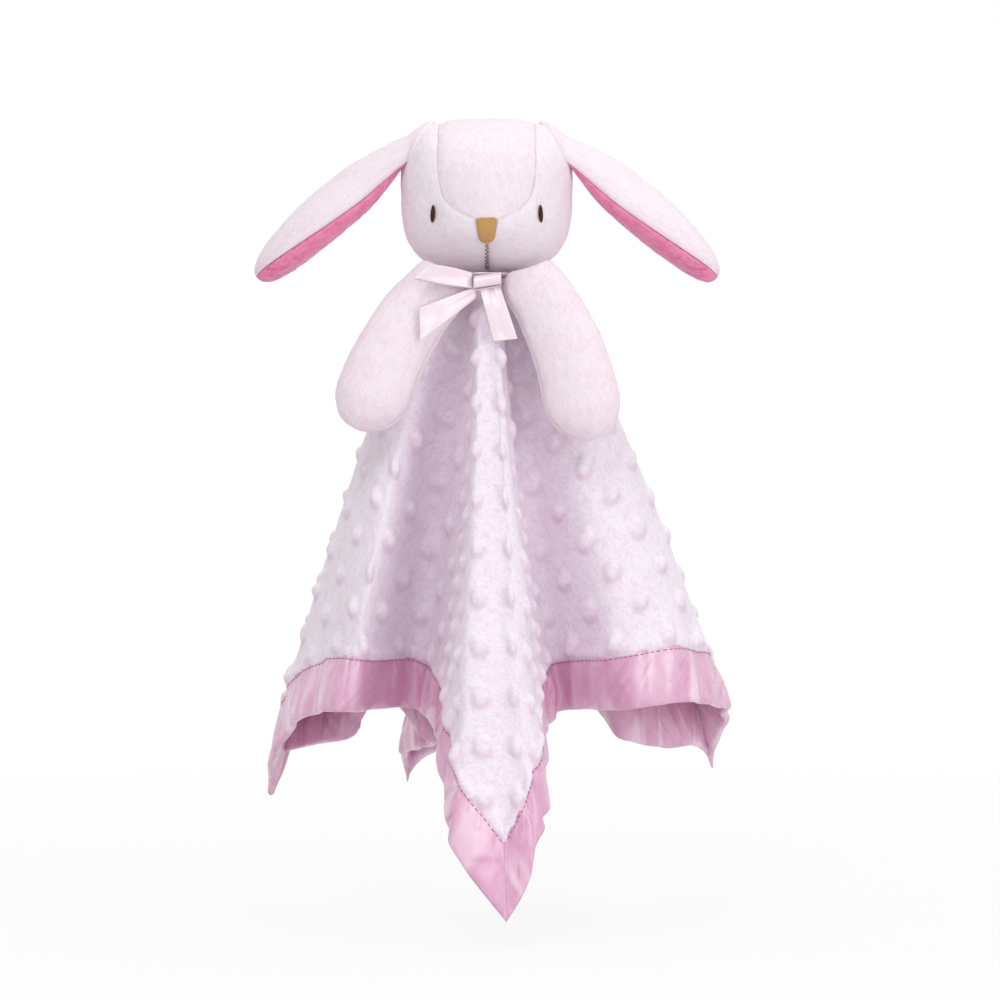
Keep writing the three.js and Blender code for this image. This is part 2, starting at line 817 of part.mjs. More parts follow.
// A ribbon tail: a flat strip that hangs from the knot along a heading, with a cut end of its own width
function bowTail(start, heading, length, startAcross, endAcross) {
  return panel(
    (u, v, layer) => {
      const across = startAcross.clone().lerp(endAcross, v);
      const bow = -ribbonSag * Math.sin(v * Math.PI) - layer * ribbonThickness;
      return start.clone()
        .addScaledVector(heading, length * v)
        .addScaledVector(across, u)
        .add(new THREE.Vector3(0, bow, 0));
    },
    [-0.5, 0, 0.5],
    steps(0, 1, ribbonRows),
  );
}

const tailFront = knotFront + seamGap + rollRadius;
const leftTailHeading = new THREE.Vector3(-0.84, -0.3, -0.45).normalize();
const rightTailHeading = new THREE.Vector3(0.3, -0.04, -0.95).normalize();

function bowLeftTail() {
  const start = new THREE.Vector3(
    rollOffset - rollWidth / 2,
    -tailFront + rollRadius / 2,
    bowHeight - ribbonWidth / 2 - seamGap - (ribbonWidth * tailGatherShare) / 2,
  );
  const startAcross = new THREE.Vector3(0, 0, ribbonWidth * tailGatherShare);
  const endAcross = new THREE.Vector3(-ribbonThickness, 0, leftTailEnd);
  return bowTail(start, leftTailHeading, leftTailLength, startAcross, endAcross);
}

function bowRightTail() {
  const start = new THREE.Vector3(
    rollOffset + ribbonThickness,
    -tailFront,
    bowHeight - rollRadius - seamGap - ribbonThickness,
  );
  const startAcross = new THREE.Vector3(ribbonWidth, 0, -ribbonThickness);
  const endAcross = new THREE.Vector3(ribbonWidth, 0, 2 * ribbonThickness);
  return bowTail(start, rightTailHeading, rightTailLength, startAcross, endAcross);
}

// Assembly
function piece(name, geometry, material) {
  const mesh = new THREE.Mesh(geometry, material);
  mesh.name = name;
  return mesh;
}

function blanketGroup() {
  const group = new THREE.Group();
  const liningDepth = plushThickness + seamGap;
  group.add(piece("minky_sheet", clothLayer(0, plushThickness), dimplePink));
  group.add(piece("satin_lining", clothLayer(liningDepth, liningThickness), liningPink));
  ["front_left", "back_left", "back_right", "front_right"].forEach((edge, side) => {
    group.add(piece(`binding_${edge}`, bindingStrip(side), satinPink));
  });
  return group;
}

function neckRing() {
  const ring = new THREE.TorusGeometry(neckRingRadius, neckThread, 8, 36);
  const mesh = piece("neck_seam_ring", ring, seamThread);
  mesh.position.z = blanketTop + seamGap + neckThread;
  return mesh;
}

function earGroup(side) {
  const name = side < 0 ? "left" : "right";
  const cutters = headSweptFor(side);
  const group = new THREE.Group();
  const halves = [["ear_plush", 1, plushPink], ["ear_lining", -1, earPink]];
  for (const [label, face, material] of halves) {
    const half = earHalf(face).applyMatrix4(earPlacement(side));
    if (side < 0) half.setIndex(Array.from(half.index.array).reverse());
    group.add(piece(`${name}_${label}`, cut(half, cutters), material));
  }
  return group;
}

function headGroup() {
  const group = new THREE.Group();
  group.position.z = headCentre;
  group.add(piece("head_gusset", headGusset(), plushPink));
  group.add(piece("head_side_left", headSidePanel(-1), plushPink));
  group.add(piece("head_side_right", headSidePanel(1), plushPink));
  group.add(piece("head_stuffing", headStuffing(), fibreWhite));
  const eyeSide = sideAngleFor(eyeSpacing / 2 / headHalfWidth, eyeNodAngle);
  const eyeOutline = (spot) => [
    Math.cos(spot * degree) * (eyeWidth / 2) * eyeSpread,
    Math.sin(spot * degree) * (eyeHeight / 2) * eyeSpread,
  ];
  group.add(piece("left_eye", stitchedPatch(eyeNodAngle, -eyeSide, eyeOutline), eyeThread));
  group.add(piece("right_eye", stitchedPatch(eyeNodAngle, eyeSide, eyeOutline), eyeThread));
  group.add(piece("nose", stitchedPatch(noseNodAngle, 0, noseOutline), noseThread));
  group.add(piece("mouth_stitch", mouthStitch(), mouthThread));
  group.add(earGroup(-1), earGroup(1));
  return group;
}

function mouthStitch() {
  const halfAngle = mouthWidth / 2 / headBallRadius / degree;
  return panel(
    (side, nodAngle, layer) => headPoint(nodAngle, side, layer ? -seamGap : -seamGap - mouthRise),
    steps(-halfAngle, halfAngle, 2),
    steps(mouthEndAngle, mouthStartAngle, 10),
  );
}

function armGroup(side) {
  const name = side < 0 ? "left" : "right";
  const cutters = headSpaceFor(side);
  const group = new THREE.Group();
  const shells = [
    ["arm_front", armCover(1), plushPink],
    ["arm_back", armCover(-1), plushPink],
    ["arm_stuffing", armStuffing(), fibreWhite],
  ];
  for (const [label, geometry, material] of shells) {
    geometry.applyMatrix4(armPlacement(side));
    if (side < 0) geometry.setIndex(Array.from(geometry.index.array).reverse());
    group.add(piece(`${name}_${label}`, cut(geometry, cutters), material));
  }
  return group;
}

function ribbonGroup() {
  const group = new THREE.Group();
  group.add(piece("ribbon_neck_band", neckBand(), ribbonPink));
  group.add(piece("bow_knot", bowKnot(), ribbonPink));
  group.add(piece("bow_right_loop", bowRoll(), ribbonPink));
  group.add(piece("bow_left_loop", bowLoop(), ribbonPink));
  group.add(piece("bow_left_tail", bowLeftTail(), ribbonPink));
  group.add(piece("bow_right_tail", bowRightTail(), ribbonPink));
  return group;
}

const lovey = new THREE.Group();
lovey.add(blanketGroup(), neckRing(), headGroup(), armGroup(-1), armGroup(1), ribbonGroup());

export default lovey;
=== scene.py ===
# Comfort blanket lovey: a plush rabbit's head, ears and arms and a ribbon bow,
# sewn to the gathered middle of a square dimple plush blanket bound with satin.
# Shapes are worked out in millimetres and become metres when a mesh is made.
import math
import bmesh
import bpy
import numpy as np
from mathutils import Matrix, Vector


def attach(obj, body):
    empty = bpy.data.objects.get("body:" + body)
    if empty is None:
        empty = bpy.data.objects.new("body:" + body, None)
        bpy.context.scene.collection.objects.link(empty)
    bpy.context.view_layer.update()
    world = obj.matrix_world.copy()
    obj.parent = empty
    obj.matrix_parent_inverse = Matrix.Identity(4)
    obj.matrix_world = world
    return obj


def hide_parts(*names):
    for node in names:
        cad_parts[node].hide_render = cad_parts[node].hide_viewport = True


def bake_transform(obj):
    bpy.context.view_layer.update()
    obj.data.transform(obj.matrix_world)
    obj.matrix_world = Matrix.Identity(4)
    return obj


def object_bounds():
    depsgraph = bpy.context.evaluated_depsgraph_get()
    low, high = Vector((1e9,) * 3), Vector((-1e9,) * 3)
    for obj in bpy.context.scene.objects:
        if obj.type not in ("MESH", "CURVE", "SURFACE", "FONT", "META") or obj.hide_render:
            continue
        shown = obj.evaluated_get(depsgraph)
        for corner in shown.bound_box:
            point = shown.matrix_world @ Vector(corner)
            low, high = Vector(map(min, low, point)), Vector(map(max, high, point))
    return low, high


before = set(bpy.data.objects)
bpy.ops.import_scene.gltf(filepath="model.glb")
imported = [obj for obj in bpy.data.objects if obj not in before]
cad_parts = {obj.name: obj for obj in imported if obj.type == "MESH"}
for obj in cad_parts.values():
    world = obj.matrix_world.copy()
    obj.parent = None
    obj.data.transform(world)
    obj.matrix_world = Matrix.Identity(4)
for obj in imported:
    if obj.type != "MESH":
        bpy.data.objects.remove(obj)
cad_low, cad_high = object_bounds()
scene = bpy.context.scene


# Camera and studio
# A level camera 1.4 m in front of the face, large soft lamps and a white room.
# The round floor lies a little under the blanket's lowest corner and fades into the room.
camera_distance = 1.4
camera_side = 0.00585
camera_height = -0.09765
field_width = 0.45
sensor_width = 36.0
floor_drop = 0.012
floor_reach = 1.2
floor_fade = 0.35
floor_sides = 96
floor_fade_end = 0.96
shadow_share = 0.9
room_colour = (1.0, 1.0, 1.0, 1.0)
paper_white = (0.82, 0.80, 0.80, 1.0)
ambient_strength = 0.6


def placed(name, data):
    """A new object that holds this data, in the scene."""
    made = bpy.data.objects.new(name, data)
    scene.collection.objects.link(made)
    return made


camera_data = bpy.data.cameras.new("camera")
camera_data.sensor_width = sensor_width
camera_data.lens = sensor_width * camera_distance / field_width
camera = placed("camera", camera_data)
camera.location = (camera_side, -camera_distance, camera_height)
camera.rotation_euler = (math.pi / 2, 0, 0)
scene.camera = camera
scene.view_settings.view_transform = "Standard"


def node(tree, kind, inputs=None, **settings):
    """Adds a shader node. Its inputs take either plain values or sockets to link from."""
    made = tree.nodes.new("ShaderNode" + kind)
    for key, value in settings.items():
        setattr(made, key, value)
    for key, value in (inputs or {}).items():
        if isinstance(value, bpy.types.NodeSocket):
            tree.links.new(value, made.inputs[key])
        else:
            made.inputs[key].default_value = value
    return made


def seen_directly(tree):
    """1 for rays that show the room itself, straight or in a shiny surface, and 0 for light."""
    path = node(tree, "LightPath")
    shiny = node(tree, "Math", {
        0: path.outputs["Is Camera Ray"], 1: path.outputs["Is Glossy Ray"]}, operation="MAXIMUM")
    return node(tree, "Math", {0: shiny.outputs[0], 1: path.outputs["Is Transmission Ray"]},
                operation="MAXIMUM").outputs[0]


world = bpy.data.worlds.new("white_room")
scene.world = world
world.use_nodes = True
world.node_tree.nodes.clear()
room = world.node_tree
room_light = node(room, "Background", {"Color": room_colour, "Strength": ambient_strength})
room_view = node(room, "Background", {"Color": room_colour, "Strength": 1.0})
room_mix = node(room, "MixShader", {
    0: seen_directly(room), 1: room_light.outputs[0], 2: room_view.outputs[0]})
node(room, "OutputWorld", {"Surface": room_mix.outputs[0]})

floor_level = cad_low.z - floor_drop
floor_points = [(0.0, 0.0, floor_level)] + [
    (floor_reach * math.cos(turn), floor_reach * math.sin(turn), floor_level)
    for turn in (2 * math.pi * i / floor_sides for i in range(floor_sides))]
floor_faces = [(0, i + 1, (i + 1) % floor_sides + 1) for i in range(floor_sides)]
floor_mesh = bpy.data.meshes.new("studio_floor")
floor_mesh.from_pydata(floor_points, [], floor_faces)
studio_floor = placed("studio_floor", floor_mesh)

paper = bpy.data.materials.new("white_paper")
paper.use_nodes = True
paper_nodes = paper.node_tree
paper_nodes.nodes.clear()
paper_matt = node(paper_nodes, "BsdfDiffuse", {"Color": paper_white})
paper_view = node(paper_nodes, "Emission", {"Color": room_colour, "Strength": 1.0})
paper_place = node(paper_nodes, "TexCoord")
paper_distance = node(paper_nodes, "VectorMath", {0: paper_place.outputs["Object"]}, operation="LENGTH")
paper_share = node(paper_nodes, "MapRange", {
    "Value": paper_distance.outputs["Value"], "From Min": floor_fade, "From Max": floor_fade_end,
    "To Min": shadow_share, "To Max": 1.0})
paper_seen = node(paper_nodes, "Math", {
    0: seen_directly(paper_nodes), 1: paper_share.outputs[0]}, operation="MULTIPLY")
paper_mix = node(paper_nodes, "MixShader", {
    0: paper_seen.outputs[0], 1: paper_matt.outputs[0], 2: paper_view.outputs[0]})
node(paper_nodes, "OutputMaterial", {"Surface": paper_mix.outputs[0]})
floor_mesh.materials.append(paper)

lamp_aim = (0.0, 0.0, -0.1)
lamps = [
    ("key_lamp", (-0.35, -1.4, 1.25), 0.8, 8.6),
    ("fill_lamp", (1.3, -1.3, 0.3), 1.3, 9.0),
    ("top_lamp", (0.1, 0.2, 1.6), 1.0, 8.0),
]
for lamp_name, place, size, power in lamps:
    lamp_data = bpy.data.lights.new(lamp_name, "AREA")
    lamp_data.shape = "DISK"
    lamp_data.size = size
    lamp_data.energy = power
    lamp = placed(lamp_name, lamp_data)
    aim = (Vector(lamp_aim) - Vector(place)).to_track_quat("-Z", "Y")
    lamp.matrix_world = Matrix.Translation(place) @ aim.to_matrix().to_4x4()


# Dimple plush sheet
# A square of short-pile plush with rows of raised dots, 17 inches on a side with its binding.
# It hangs in folds from the gathered spot at its middle, where the head is sewn on.
mm = 0.001
blanket_side = 431.8
binding_width = 25.4
plush_thickness = 1.6
lining_thickness = 0.6
satin_thickness = 0.6
seam_gap = 0.3
hem_ease = 1.6
gather_radius = 8.5
shoulder_reach = 40.0
blanket_top = lining_thickness + seam_gap + plush_thickness
half_diagonal = blanket_side / math.sqrt(2)
cloth_reach = blanket_side / 2 - hem_ease - satin_thickness
plush_step = 1.15
probe = 0.5
grid_step = 1.3
grid_margin = 14.0
fold_softness = 3.0
dot_pitch = 21.9
dot_radius = 5.4
dot_height = 2.5
dot_variation = 0.12
pile_lump = 2.4
pile_lift = 0.2
stitch_line = 22.9
edge_puff = 1.5
edge_puff_width = 2.4
pleat_depth = 3.2
pleat_counts = (11, 13, 16, 19, 23, 27)
pleat_start = (18, 55)
pleat_fade = (80, 190)
slack_depth = 1.1
slack_start = (30, 90)
back_start = (-10, 30)
back_open = (110, 170)
hem_ripple = 2.6
ripple_size = 9
front_crease = 4.5
front_crease_width = 2.6
crease_angle = 3.0
plush_pink = (0.920, 0.860, 0.940, 1.0)
# The deeper pile colour is also the colour of the painted shade under the dots and in the folds
plush_deep_and_shade = (0.820, 0.670, 0.785, 1.0)

# Folds of the hung blanket, clockwise from the front corner seen from above: flat angle,
# lean in X and Y for each mm of fall, and shoulder, a share of the shoulder reach
fold_shares = np.array([
    [0, 0.03, -0.203, 0.5], [6, -0.042, -0.21, 0.5], [12, -0.06, -0.156, 0.45],
    [28, -0.075, 0.016, 0.34], [43, -0.117, 0.205, 0.31], [50, -0.163, 0.158, 0.4],
    [60, -0.206, -0.06, 0.62], [69, -0.23, 0.036, 0.88], [78, -0.266, 0.196, 0.95],
    [84, -0.285, 0.285, 0.9], [90, -0.275, 0.372, 0.85], [96, -0.263, 0.36, 0.75],
    [103, -0.25, 0.28, 0.55], [111, -0.235, 0.217, 0.34], [119, -0.242, 0.279, 0.42],
    [128, -0.237, 0.352, 0.52], [137, -0.206, 0.354, 0.5], [146, -0.17, 0.268, 0.4],
    [155, -0.103, 0.176, 0.33], [164, -0.135, 0.242, 0.5], [172, -0.162, 0.32, 0.8],
    [180, -0.155, 0.375, 1.1], [187, -0.105, 0.345, 0.9], [194, -0.05, 0.265, 0.55],
    [203, -0.01, 0.2, 0.33], [213, 0.01, 0.285, 0.47], [222, 0.055, 0.37, 0.58],
    [231, 0.13, 0.37, 0.58], [240, 0.19, 0.285, 0.45], [249, 0.235, 0.215, 0.33],
    [258, 0.262, 0.28, 0.55], [264, 0.262, 0.375, 0.8], [270, 0.275, 0.445, 0.9],
    [276, 0.325, 0.375, 0.95], [282, 0.346, 0.26, 0.98], [291, 0.308, 0.07, 0.88],
    [300, 0.222, 0.006, 0.62], [310, 0.154, 0.163, 0.38], [317, 0.117, 0.181, 0.31],
    [332, 0.098, -0.002, 0.34], [348, 0.097, -0.16, 0.45], [354, 0.077, -0.21, 0.5],
])


def smooth_rows(rows, spot, period=0):
    """A smooth curve through rows that begin with their position, repeating after period if given."""
    if period:
        lap = np.array([period] + [0] * (rows.shape[1] - 1))
        rows = np.vstack([rows[-2:] - lap, rows, rows[:2] + lap])
        spot = np.mod(spot, period)
    else:
        rows = np.vstack([rows[:1], rows, rows[-1:]])
    low = 2 if period else 1
    k = np.clip(np.searchsorted(rows[:, 0], spot, side="right") - 1, low, len(rows) - 3)
    before, start, end, after = rows[k - 1], rows[k], rows[k + 1], rows[k + 2]
    span = (end - start)[..., :1]
    t = (spot[..., None] - start[..., :1]) / span
    start_slope = (end - before) / (end - before)[..., :1] * span
    end_slope = (after - start) / (after - start)[..., :1] * span
    rise = end - start
    bent = start + t * (start_slope + t * (3 * rise - 2 * start_slope - end_slope
                                           + t * (start_slope + end_slope - 2 * rise)))
    return np.moveaxis(bent[..., 1:], -1, 0)


def ease(value, low, high):
    """0 below low, 1 above high and smooth between them."""
    t = np.clip((value - low) / (high - low), 0, 1)
    return t * t * (3 - 2 * t)


def unevenness(places, size, seed):
    """Smooth random swelling from -1 to 1 with lumps of about this size, alike on every run."""
    cells = np.asarray(places, float) / size + 500
    low = np.floor(cells).astype(np.int64)
    part = cells - low
    part = part * part * (3 - 2 * part)
    table = np.random.default_rng(seed).uniform(-1, 1, 4096)
    total = np.zeros(cells.shape[:-1])
    for corner in np.ndindex(2, 2, 2):
        spot = low + corner
        key = (spot[..., 0] * 73856093 ^ spot[..., 1] * 19349663 ^ spot[..., 2] * 83492791) & 4095
        total += table[key] * np.prod(np.where(corner, part, 1 - part), axis=-1)
    return total


def points_of(x, y, z):
    """One array of points from their coordinates, each stretched to fit the others."""
    return np.stack(np.broadcast_arrays(x, y, z), -1)


def hang(x, y):
    """Where the upper face hangs, for places on the flat cloth measured from its middle."""
    distance = np.maximum(np.hypot(x, y), 1e-9)
    lean_x, lean_y, shoulder = smooth_rows(fold_shares, -90 - np.degrees(np.arctan2(y, x)), 360)
    bend = shoulder * shoulder_reach - gather_radius
    run = np.maximum(distance - gather_radius, 0)
    level = bend * (1 - np.exp(-run / bend))
    out = np.minimum(distance, gather_radius) + level
    fall = run - level
    drop = np.sqrt(1 - lean_x ** 2 - lean_y ** 2)
    return points_of(x / distance * out + lean_x * fall, y / distance * out + lean_y * fall,
                     blanket_top - drop * fall)


def normals_of(face, x, y):
    """The outward direction of a cloth face at places on the flat cloth."""
    along = face(x + probe, y) - face(x - probe, y)
    across = face(x, y + probe) - face(x, y - probe)
    normal = np.cross(along, across)
    return normal / np.linalg.norm(normal, axis=-1, keepdims=True)


pleat_random = np.random.default_rng(11)
pleat_phases = pleat_random.uniform(0, 2 * math.pi, len(pleat_counts))


def pleats(x, y):
    """How deep the gathered cloth dips between its pleats, which widen and fade away down the cloth.
    They are shallow near the neck at the back, where the folds stand close together."""
    distance = np.hypot(x, y)
    angle = np.arctan2(y, x)
    wave = sum(np.cos(count * angle + phase) for count, phase in zip(pleat_counts, pleat_phases))
    wave = wave / math.sqrt(len(pleat_counts) / 2)
    narrow = ease(y, *back_start) * (1 - ease(distance, *back_open))
    strength = ease(distance, *pleat_start) * (1 - 0.75 * ease(distance, *pleat_fade)) * (1 - 0.9 * narrow)
    slack = unevenness(points_of(x, y, 0.0), 38, 5) * ease(distance, 40, 120)
    a, b = (x + y) / math.sqrt(2), (y - x) / math.sqrt(2)
    outer, other = np.maximum(np.abs(a), np.abs(b)), np.minimum(np.abs(a), np.abs(b))
    along_hem = np.where(np.abs(a) > np.abs(b), b + 500 * np.sign(a), a + 1500 * np.sign(b))
    hem_wave = hem_ripple * unevenness(points_of(along_hem, 0.2 * outer, 0.0), ripple_size, 6)
    hem_wave *= ease(outer, blanket_side / 2 - 48, blanket_side / 2 - 20)
    hem_wave *= 1 - ease(other, blanket_side / 2 - 55, blanket_side / 2 - 25)
    from_crease = distance * np.sin(angle + math.radians(90 + crease_angle))
    crease = front_crease * np.exp(-(from_crease / front_crease_width) ** 2) * (y < 0)
    crease *= ease(distance, 16, 30) * (1 - ease(distance, 60, 100))
    slack_dip = slack_depth * (1 + slack) * ease(distance, *slack_start) * (1 - 0.8 * narrow)
    return strength * pleat_depth * (0.5 - 0.5 * np.tanh(wave)) + slack_dip + hem_wave + crease


def softened(grid, size):
    """A grid of points averaged with its neighbours, so that no fold is sharper than cloth can be."""
    reach = int(3 * size / grid_step)
    weights = np.exp(-0.5 * (np.arange(-reach, reach + 1) * grid_step / size) ** 2)
    for axis in (0, 1):
        spread = [(reach, reach) if axis == other else (0, 0) for other in range(3)]
        padded = np.pad(grid, spread, mode="reflect", reflect_type="odd")
        grid = sum(weight * np.take(padded, np.arange(i, i + grid.shape[axis]), axis)
                   for i, weight in enumerate(weights / weights.sum()))
    return grid


def flat_square(reach, count):
    """Rows of places on the flat cloth: how far along its two edges, and their X and Y."""
    side = np.linspace(-reach, reach, count)
    a, b = np.meshgrid(side, side, indexing="ij")
    return a, b, (a - b) / math.sqrt(2), (a + b) / math.sqrt(2)


# The hung cloth is worked out once, on a grid that reaches a little past the hem
grid_reach = blanket_side / 2 + grid_margin
grid_count = int(2 * grid_reach / grid_step) + 1
grid_x, grid_y = flat_square(grid_reach, grid_count)[2:]
grid_hang = hang(grid_x, grid_y) - normals_of(hang, grid_x, grid_y) * pleats(grid_x, grid_y)[..., None]
cloth_grid = softened(grid_hang, fold_softness)
cloth_tilt = np.cross(np.gradient(cloth_grid, axis=0), np.gradient(cloth_grid, axis=1))
cloth_tilt /= np.linalg.norm(cloth_tilt, axis=-1, keepdims=True)


def on_grid(grid, x, y):
    """The value of a grid at places on the flat cloth."""
    a = np.clip((x + y) / math.sqrt(2) + grid_reach, 0, 2 * grid_reach - 1e-6) / (2 * grid_reach)
    b = np.clip((y - x) / math.sqrt(2) + grid_reach, 0, 2 * grid_reach - 1e-6) / (2 * grid_reach)
    a, b = a * (grid_count - 1), b * (grid_count - 1)
    i, j = a.astype(int), b.astype(int)
    s, t = (a - i)[..., None], (b - j)[..., None]
    return ((1 - s) * (1 - t) * grid[i, j] + s * (1 - t) * grid[i + 1, j]
            + (1 - s) * t * grid[i, j + 1] + s * t * grid[i + 1, j + 1])


def cloth_face(x, y):
    """Where the hung cloth lies, for places on the flat cloth."""
    return on_grid(cloth_grid, x, y)


def cloth_normal(x, y):
    """The outward direction of the hung cloth."""
    tilt = on_grid(cloth_tilt, x, y)
    return tilt / np.linalg.norm(tilt, axis=-1, keepdims=True)


def mesh_from(name, points, quads, place, weld=True, rims=0):
    """A mesh in metres with its faces turned outward. place says where each point lies on the
    cloth before it is sewn, and the finishes follow it, so they stay put when the piece moves.
    The last faces, as many as rims says, are cut edges and are shaded apart from the rest."""
    corners = points[quads]
    first, second, third, fourth = (corners[:, i] for i in range(4))
    volume = (first * (np.cross(second, third) + np.cross(third, fourth))).sum()
    if volume < 0:
        quads = quads[:, ::-1]
    mesh = bpy.data.meshes.new(name)
    mesh.vertices.add(len(points))
    mesh.vertices.foreach_set("co", (points * mm).ravel())
    mesh.loops.add(quads.size)
    mesh.loops.foreach_set("vertex_index", quads.ravel())
    mesh.polygons.add(len(quads))
    mesh.polygons.foreach_set("loop_start", np.arange(0, quads.size, 4))
    mesh.polygons.foreach_set("use_smooth", np.arange(len(quads)) < len(quads) - rims)
    stored = mesh.attributes.new("cloth_place", "FLOAT_VECTOR", "POINT")
    stored.data.foreach_set("vector", (place * mm).ravel())
    mesh.update(calc_edges=True)
    if weld:
        edit = bmesh.new()
        edit.from_mesh(mesh)
        bmesh.ops.remove_doubles(edit, verts=edit.verts, dist=1e-6)
        edit.to_mesh(mesh)
        edit.free()
    mesh.validate()
    return mesh


def quads_of(at):
    """The faces between the rows and columns of a grid of point numbers."""
    corners = [at[..., :-1, :-1], at[..., :-1, 1:], at[..., 1:, 1:], at[..., 1:, :-1]]
    return np.stack(corners, -1).reshape(-1, 4)


def two_faced(name, outer, inner, place, ring=False, weld=True):
    """A closed piece of cloth from two grids of points, its outer and its inner face."""
    rows, columns = outer.shape[:2]
    count = rows * columns
    at = np.arange(count).reshape(rows, columns)
    if ring:
        at = np.hstack([at, at[:, :1]])
    face = quads_of(at)
    rims = [(at[0, 1:], at[0, :-1]), (at[-1, :-1], at[-1, 1:])]
    if not ring:
        rims += [(at[:-1, 0], at[1:, 0]), (at[1:, -1], at[:-1, -1])]
    edges = np.concatenate([np.stack([a, b, b + count, a + count], -1) for a, b in rims])
    quads = [face, face[:, ::-1] + count, edges]
    points = np.concatenate([outer.reshape(-1, 3), inner.reshape(-1, 3)])
    places = np.concatenate([place.reshape(-1, 3)] * 2)
    return placed(name, mesh_from(name, points, np.concatenate(quads), places, weld, len(edges)))


def node_group(name, inputs):
    """An empty shader node group that gives a colour, a height and a roughness, and its two ends."""
    group = bpy.data.node_groups.new(name, "ShaderNodeTree")
    results = [("Colour", "Color"), ("Height", "Float"), ("Roughness", "Float")]
    for way, sockets in (("INPUT", inputs), ("OUTPUT", results)):
        for label, kind in sockets:
            group.interface.new_socket(label, in_out=way, socket_type="NodeSocket" + kind)
    return group, group.nodes.new("NodeGroupInput"), group.nodes.new("NodeGroupOutput")


def give_out(group, end, colour, height, roughness):
    """Joins a group's results to its end."""
    for label, socket in (("Colour", colour), ("Height", height), ("Roughness", roughness)):
        group.links.new(socket, end.inputs[label])


def mixed(group, share, first, second):
    """The colour that lies this share of the way from the first to the second."""
    return node(group, "Mix", {0: share, 6: first, 7: second}, data_type="RGBA").outputs[2]


def product(group, kind, first, second):
    """Two values multiplied, either numbers, with kind Math, or vectors, with kind VectorMath."""
    return node(group, kind, {0: first, 1: second}, operation="MULTIPLY").outputs[0]


def sum_of(group, value, share, rest):
    """A share of a value added to the rest."""
    return node(group, "Math", {0: value, 1: share, 2: rest}, operation="MULTIPLY_ADD").outputs[0]


# Brushed short pile: strands that lie one way, and patches where the pile was stroked differently. A
# painted shade mask pulls the colour toward the deeper one.
pile_group, pile_in, pile_out = node_group(
    "brushed_pile",
    [("Place", "Vector"), ("Strand Scale", "Vector"), ("Brushing Scale", "Float"),
     ("Pile", "Color"), ("Depth", "Color"), ("Painted Shade", "Float")])
strand_place = product(pile_group, "VectorMath", pile_in.outputs["Place"], pile_in.outputs["Strand Scale"])
strands = node(pile_group, "TexNoise", {
    "Vector": strand_place, "Scale": 1.0, "Detail": 4.0, "Roughness": 0.62, "Distortion": 0.6})
brushing = node(pile_group, "TexNoise", {
    "Vector": pile_in.outputs["Place"], "Scale": pile_in.outputs["Brushing Scale"], "Detail": 5.0,
    "Roughness": 0.6, "Distortion": 1.2})
tufts = node(pile_group, "TexNoise", {
    "Vector": strand_place, "Scale": 0.35, "Detail": 2.0, "Roughness": 0.5})
stroked = product(pile_group, "Math", strands.outputs["Fac"], 0.45)
patched = sum_of(pile_group, brushing.outputs["Fac"], 0.2, stroked)
lying = sum_of(pile_group, tufts.outputs["Fac"], 0.2, patched)
shade = node(pile_group, "MapRange", {
    "Value": lying, "From Min": 0.26, "From Max": 0.5}, interpolation_type="SMOOTHSTEP")
full = node(pile_group, "Math", {0: shade.outputs["Result"], 1: pile_in.outputs["Painted Shade"]},
            operation="SUBTRACT", use_clamp=True)
pile_mix = mixed(pile_group, full.outputs[0], pile_in.outputs["Depth"], pile_in.outputs["Pile"])
pile_rough = node(pile_group, "MapRange", {
    "Value": strands.outputs["Fac"], "From Min": 0.3, "From Max": 0.7, "To Min": 1.0, "To Max": 0.8})
give_out(pile_group, pile_out, pile_mix, lying, pile_rough.outputs["Result"])


def cloth_material(name, group, settings, shine, bump_height, bump_strength=1.0):
    """A material whose colour, roughness and bump come from a group, with plain shader values."""
    made = bpy.data.materials.new(name)
    made.use_nodes = True
    tree = made.node_tree
    tree.nodes.clear()
    place = node(tree, "Attribute", attribute_name="cloth_place")
    effect = tree.nodes.new("ShaderNodeGroup")
    effect.node_tree = group
    tree.links.new(place.outputs["Vector"], effect.inputs["Place"])
    # Pile materials read the painted shade attribute, which only the dimple plush sheet carries
    if "Painted Shade" in effect.inputs:
        painted_shade_attribute = node(tree, "Attribute", attribute_name="painted_dot_and_fold_shade")
        tree.links.new(painted_shade_attribute.outputs["Fac"], effect.inputs["Painted Shade"])
    for label, value in settings.items():
        effect.inputs[label].default_value = value
    bump = node(tree, "Bump", {"Height": effect.outputs["Height"], "Distance": bump_height,
                               "Strength": bump_strength})
    shader = node(tree, "BsdfPrincipled", {
        "Base Color": effect.outputs["Colour"], "Roughness": effect.outputs["Roughness"],
        "Normal": bump.outputs[0], **shine})
    node(tree, "OutputMaterial", {"Surface": shader.outputs[0]})
    return made


def dressed(made, material, body="", node_name=""):
    """Gives a piece its material and slot, the body it rides on and the CAD node it stands for."""
    made.data.materials.append(material)
    if body:
        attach(made, body)
    if node_name:
        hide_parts(node_name)
    return made


velvet_shine = {"Sheen Weight": 0.35, "Sheen Roughness": 0.45, "Sheen Tint": (1.0, 0.93, 0.97, 1.0),
                "Specular IOR Level": 0.2}


def plush(name, strand_scale, brushing_scale, pile, depth, bump_height=0.0009, bump_strength=0.9):
    """A plush material: how fine its strands are each way and its brushed patches, and its colours."""
    return cloth_material(name, pile_group, {
        "Strand Scale": strand_scale, "Brushing Scale": brushing_scale,
        "Pile": pile, "Depth": depth}, velvet_shine, bump_height, bump_strength)


dimple_plush = plush("dimple_plush", (420.0, 900.0, 900.0), 95.0, plush_pink, plush_deep_and_shade, 0.0007, 0.7)

sheet_a, sheet_b, sheet_x, sheet_y = flat_square(cloth_reach, int(2 * cloth_reach / plush_step))
sheet_flat = points_of(sheet_x, sheet_y, 0.0)
sheet_middle = cloth_face(sheet_x, sheet_y)
sheet_normal = cloth_normal(sheet_x, sheet_y)
from_edge = blanket_side / 2 - np.maximum(np.abs(sheet_a), np.abs(sheet_b))

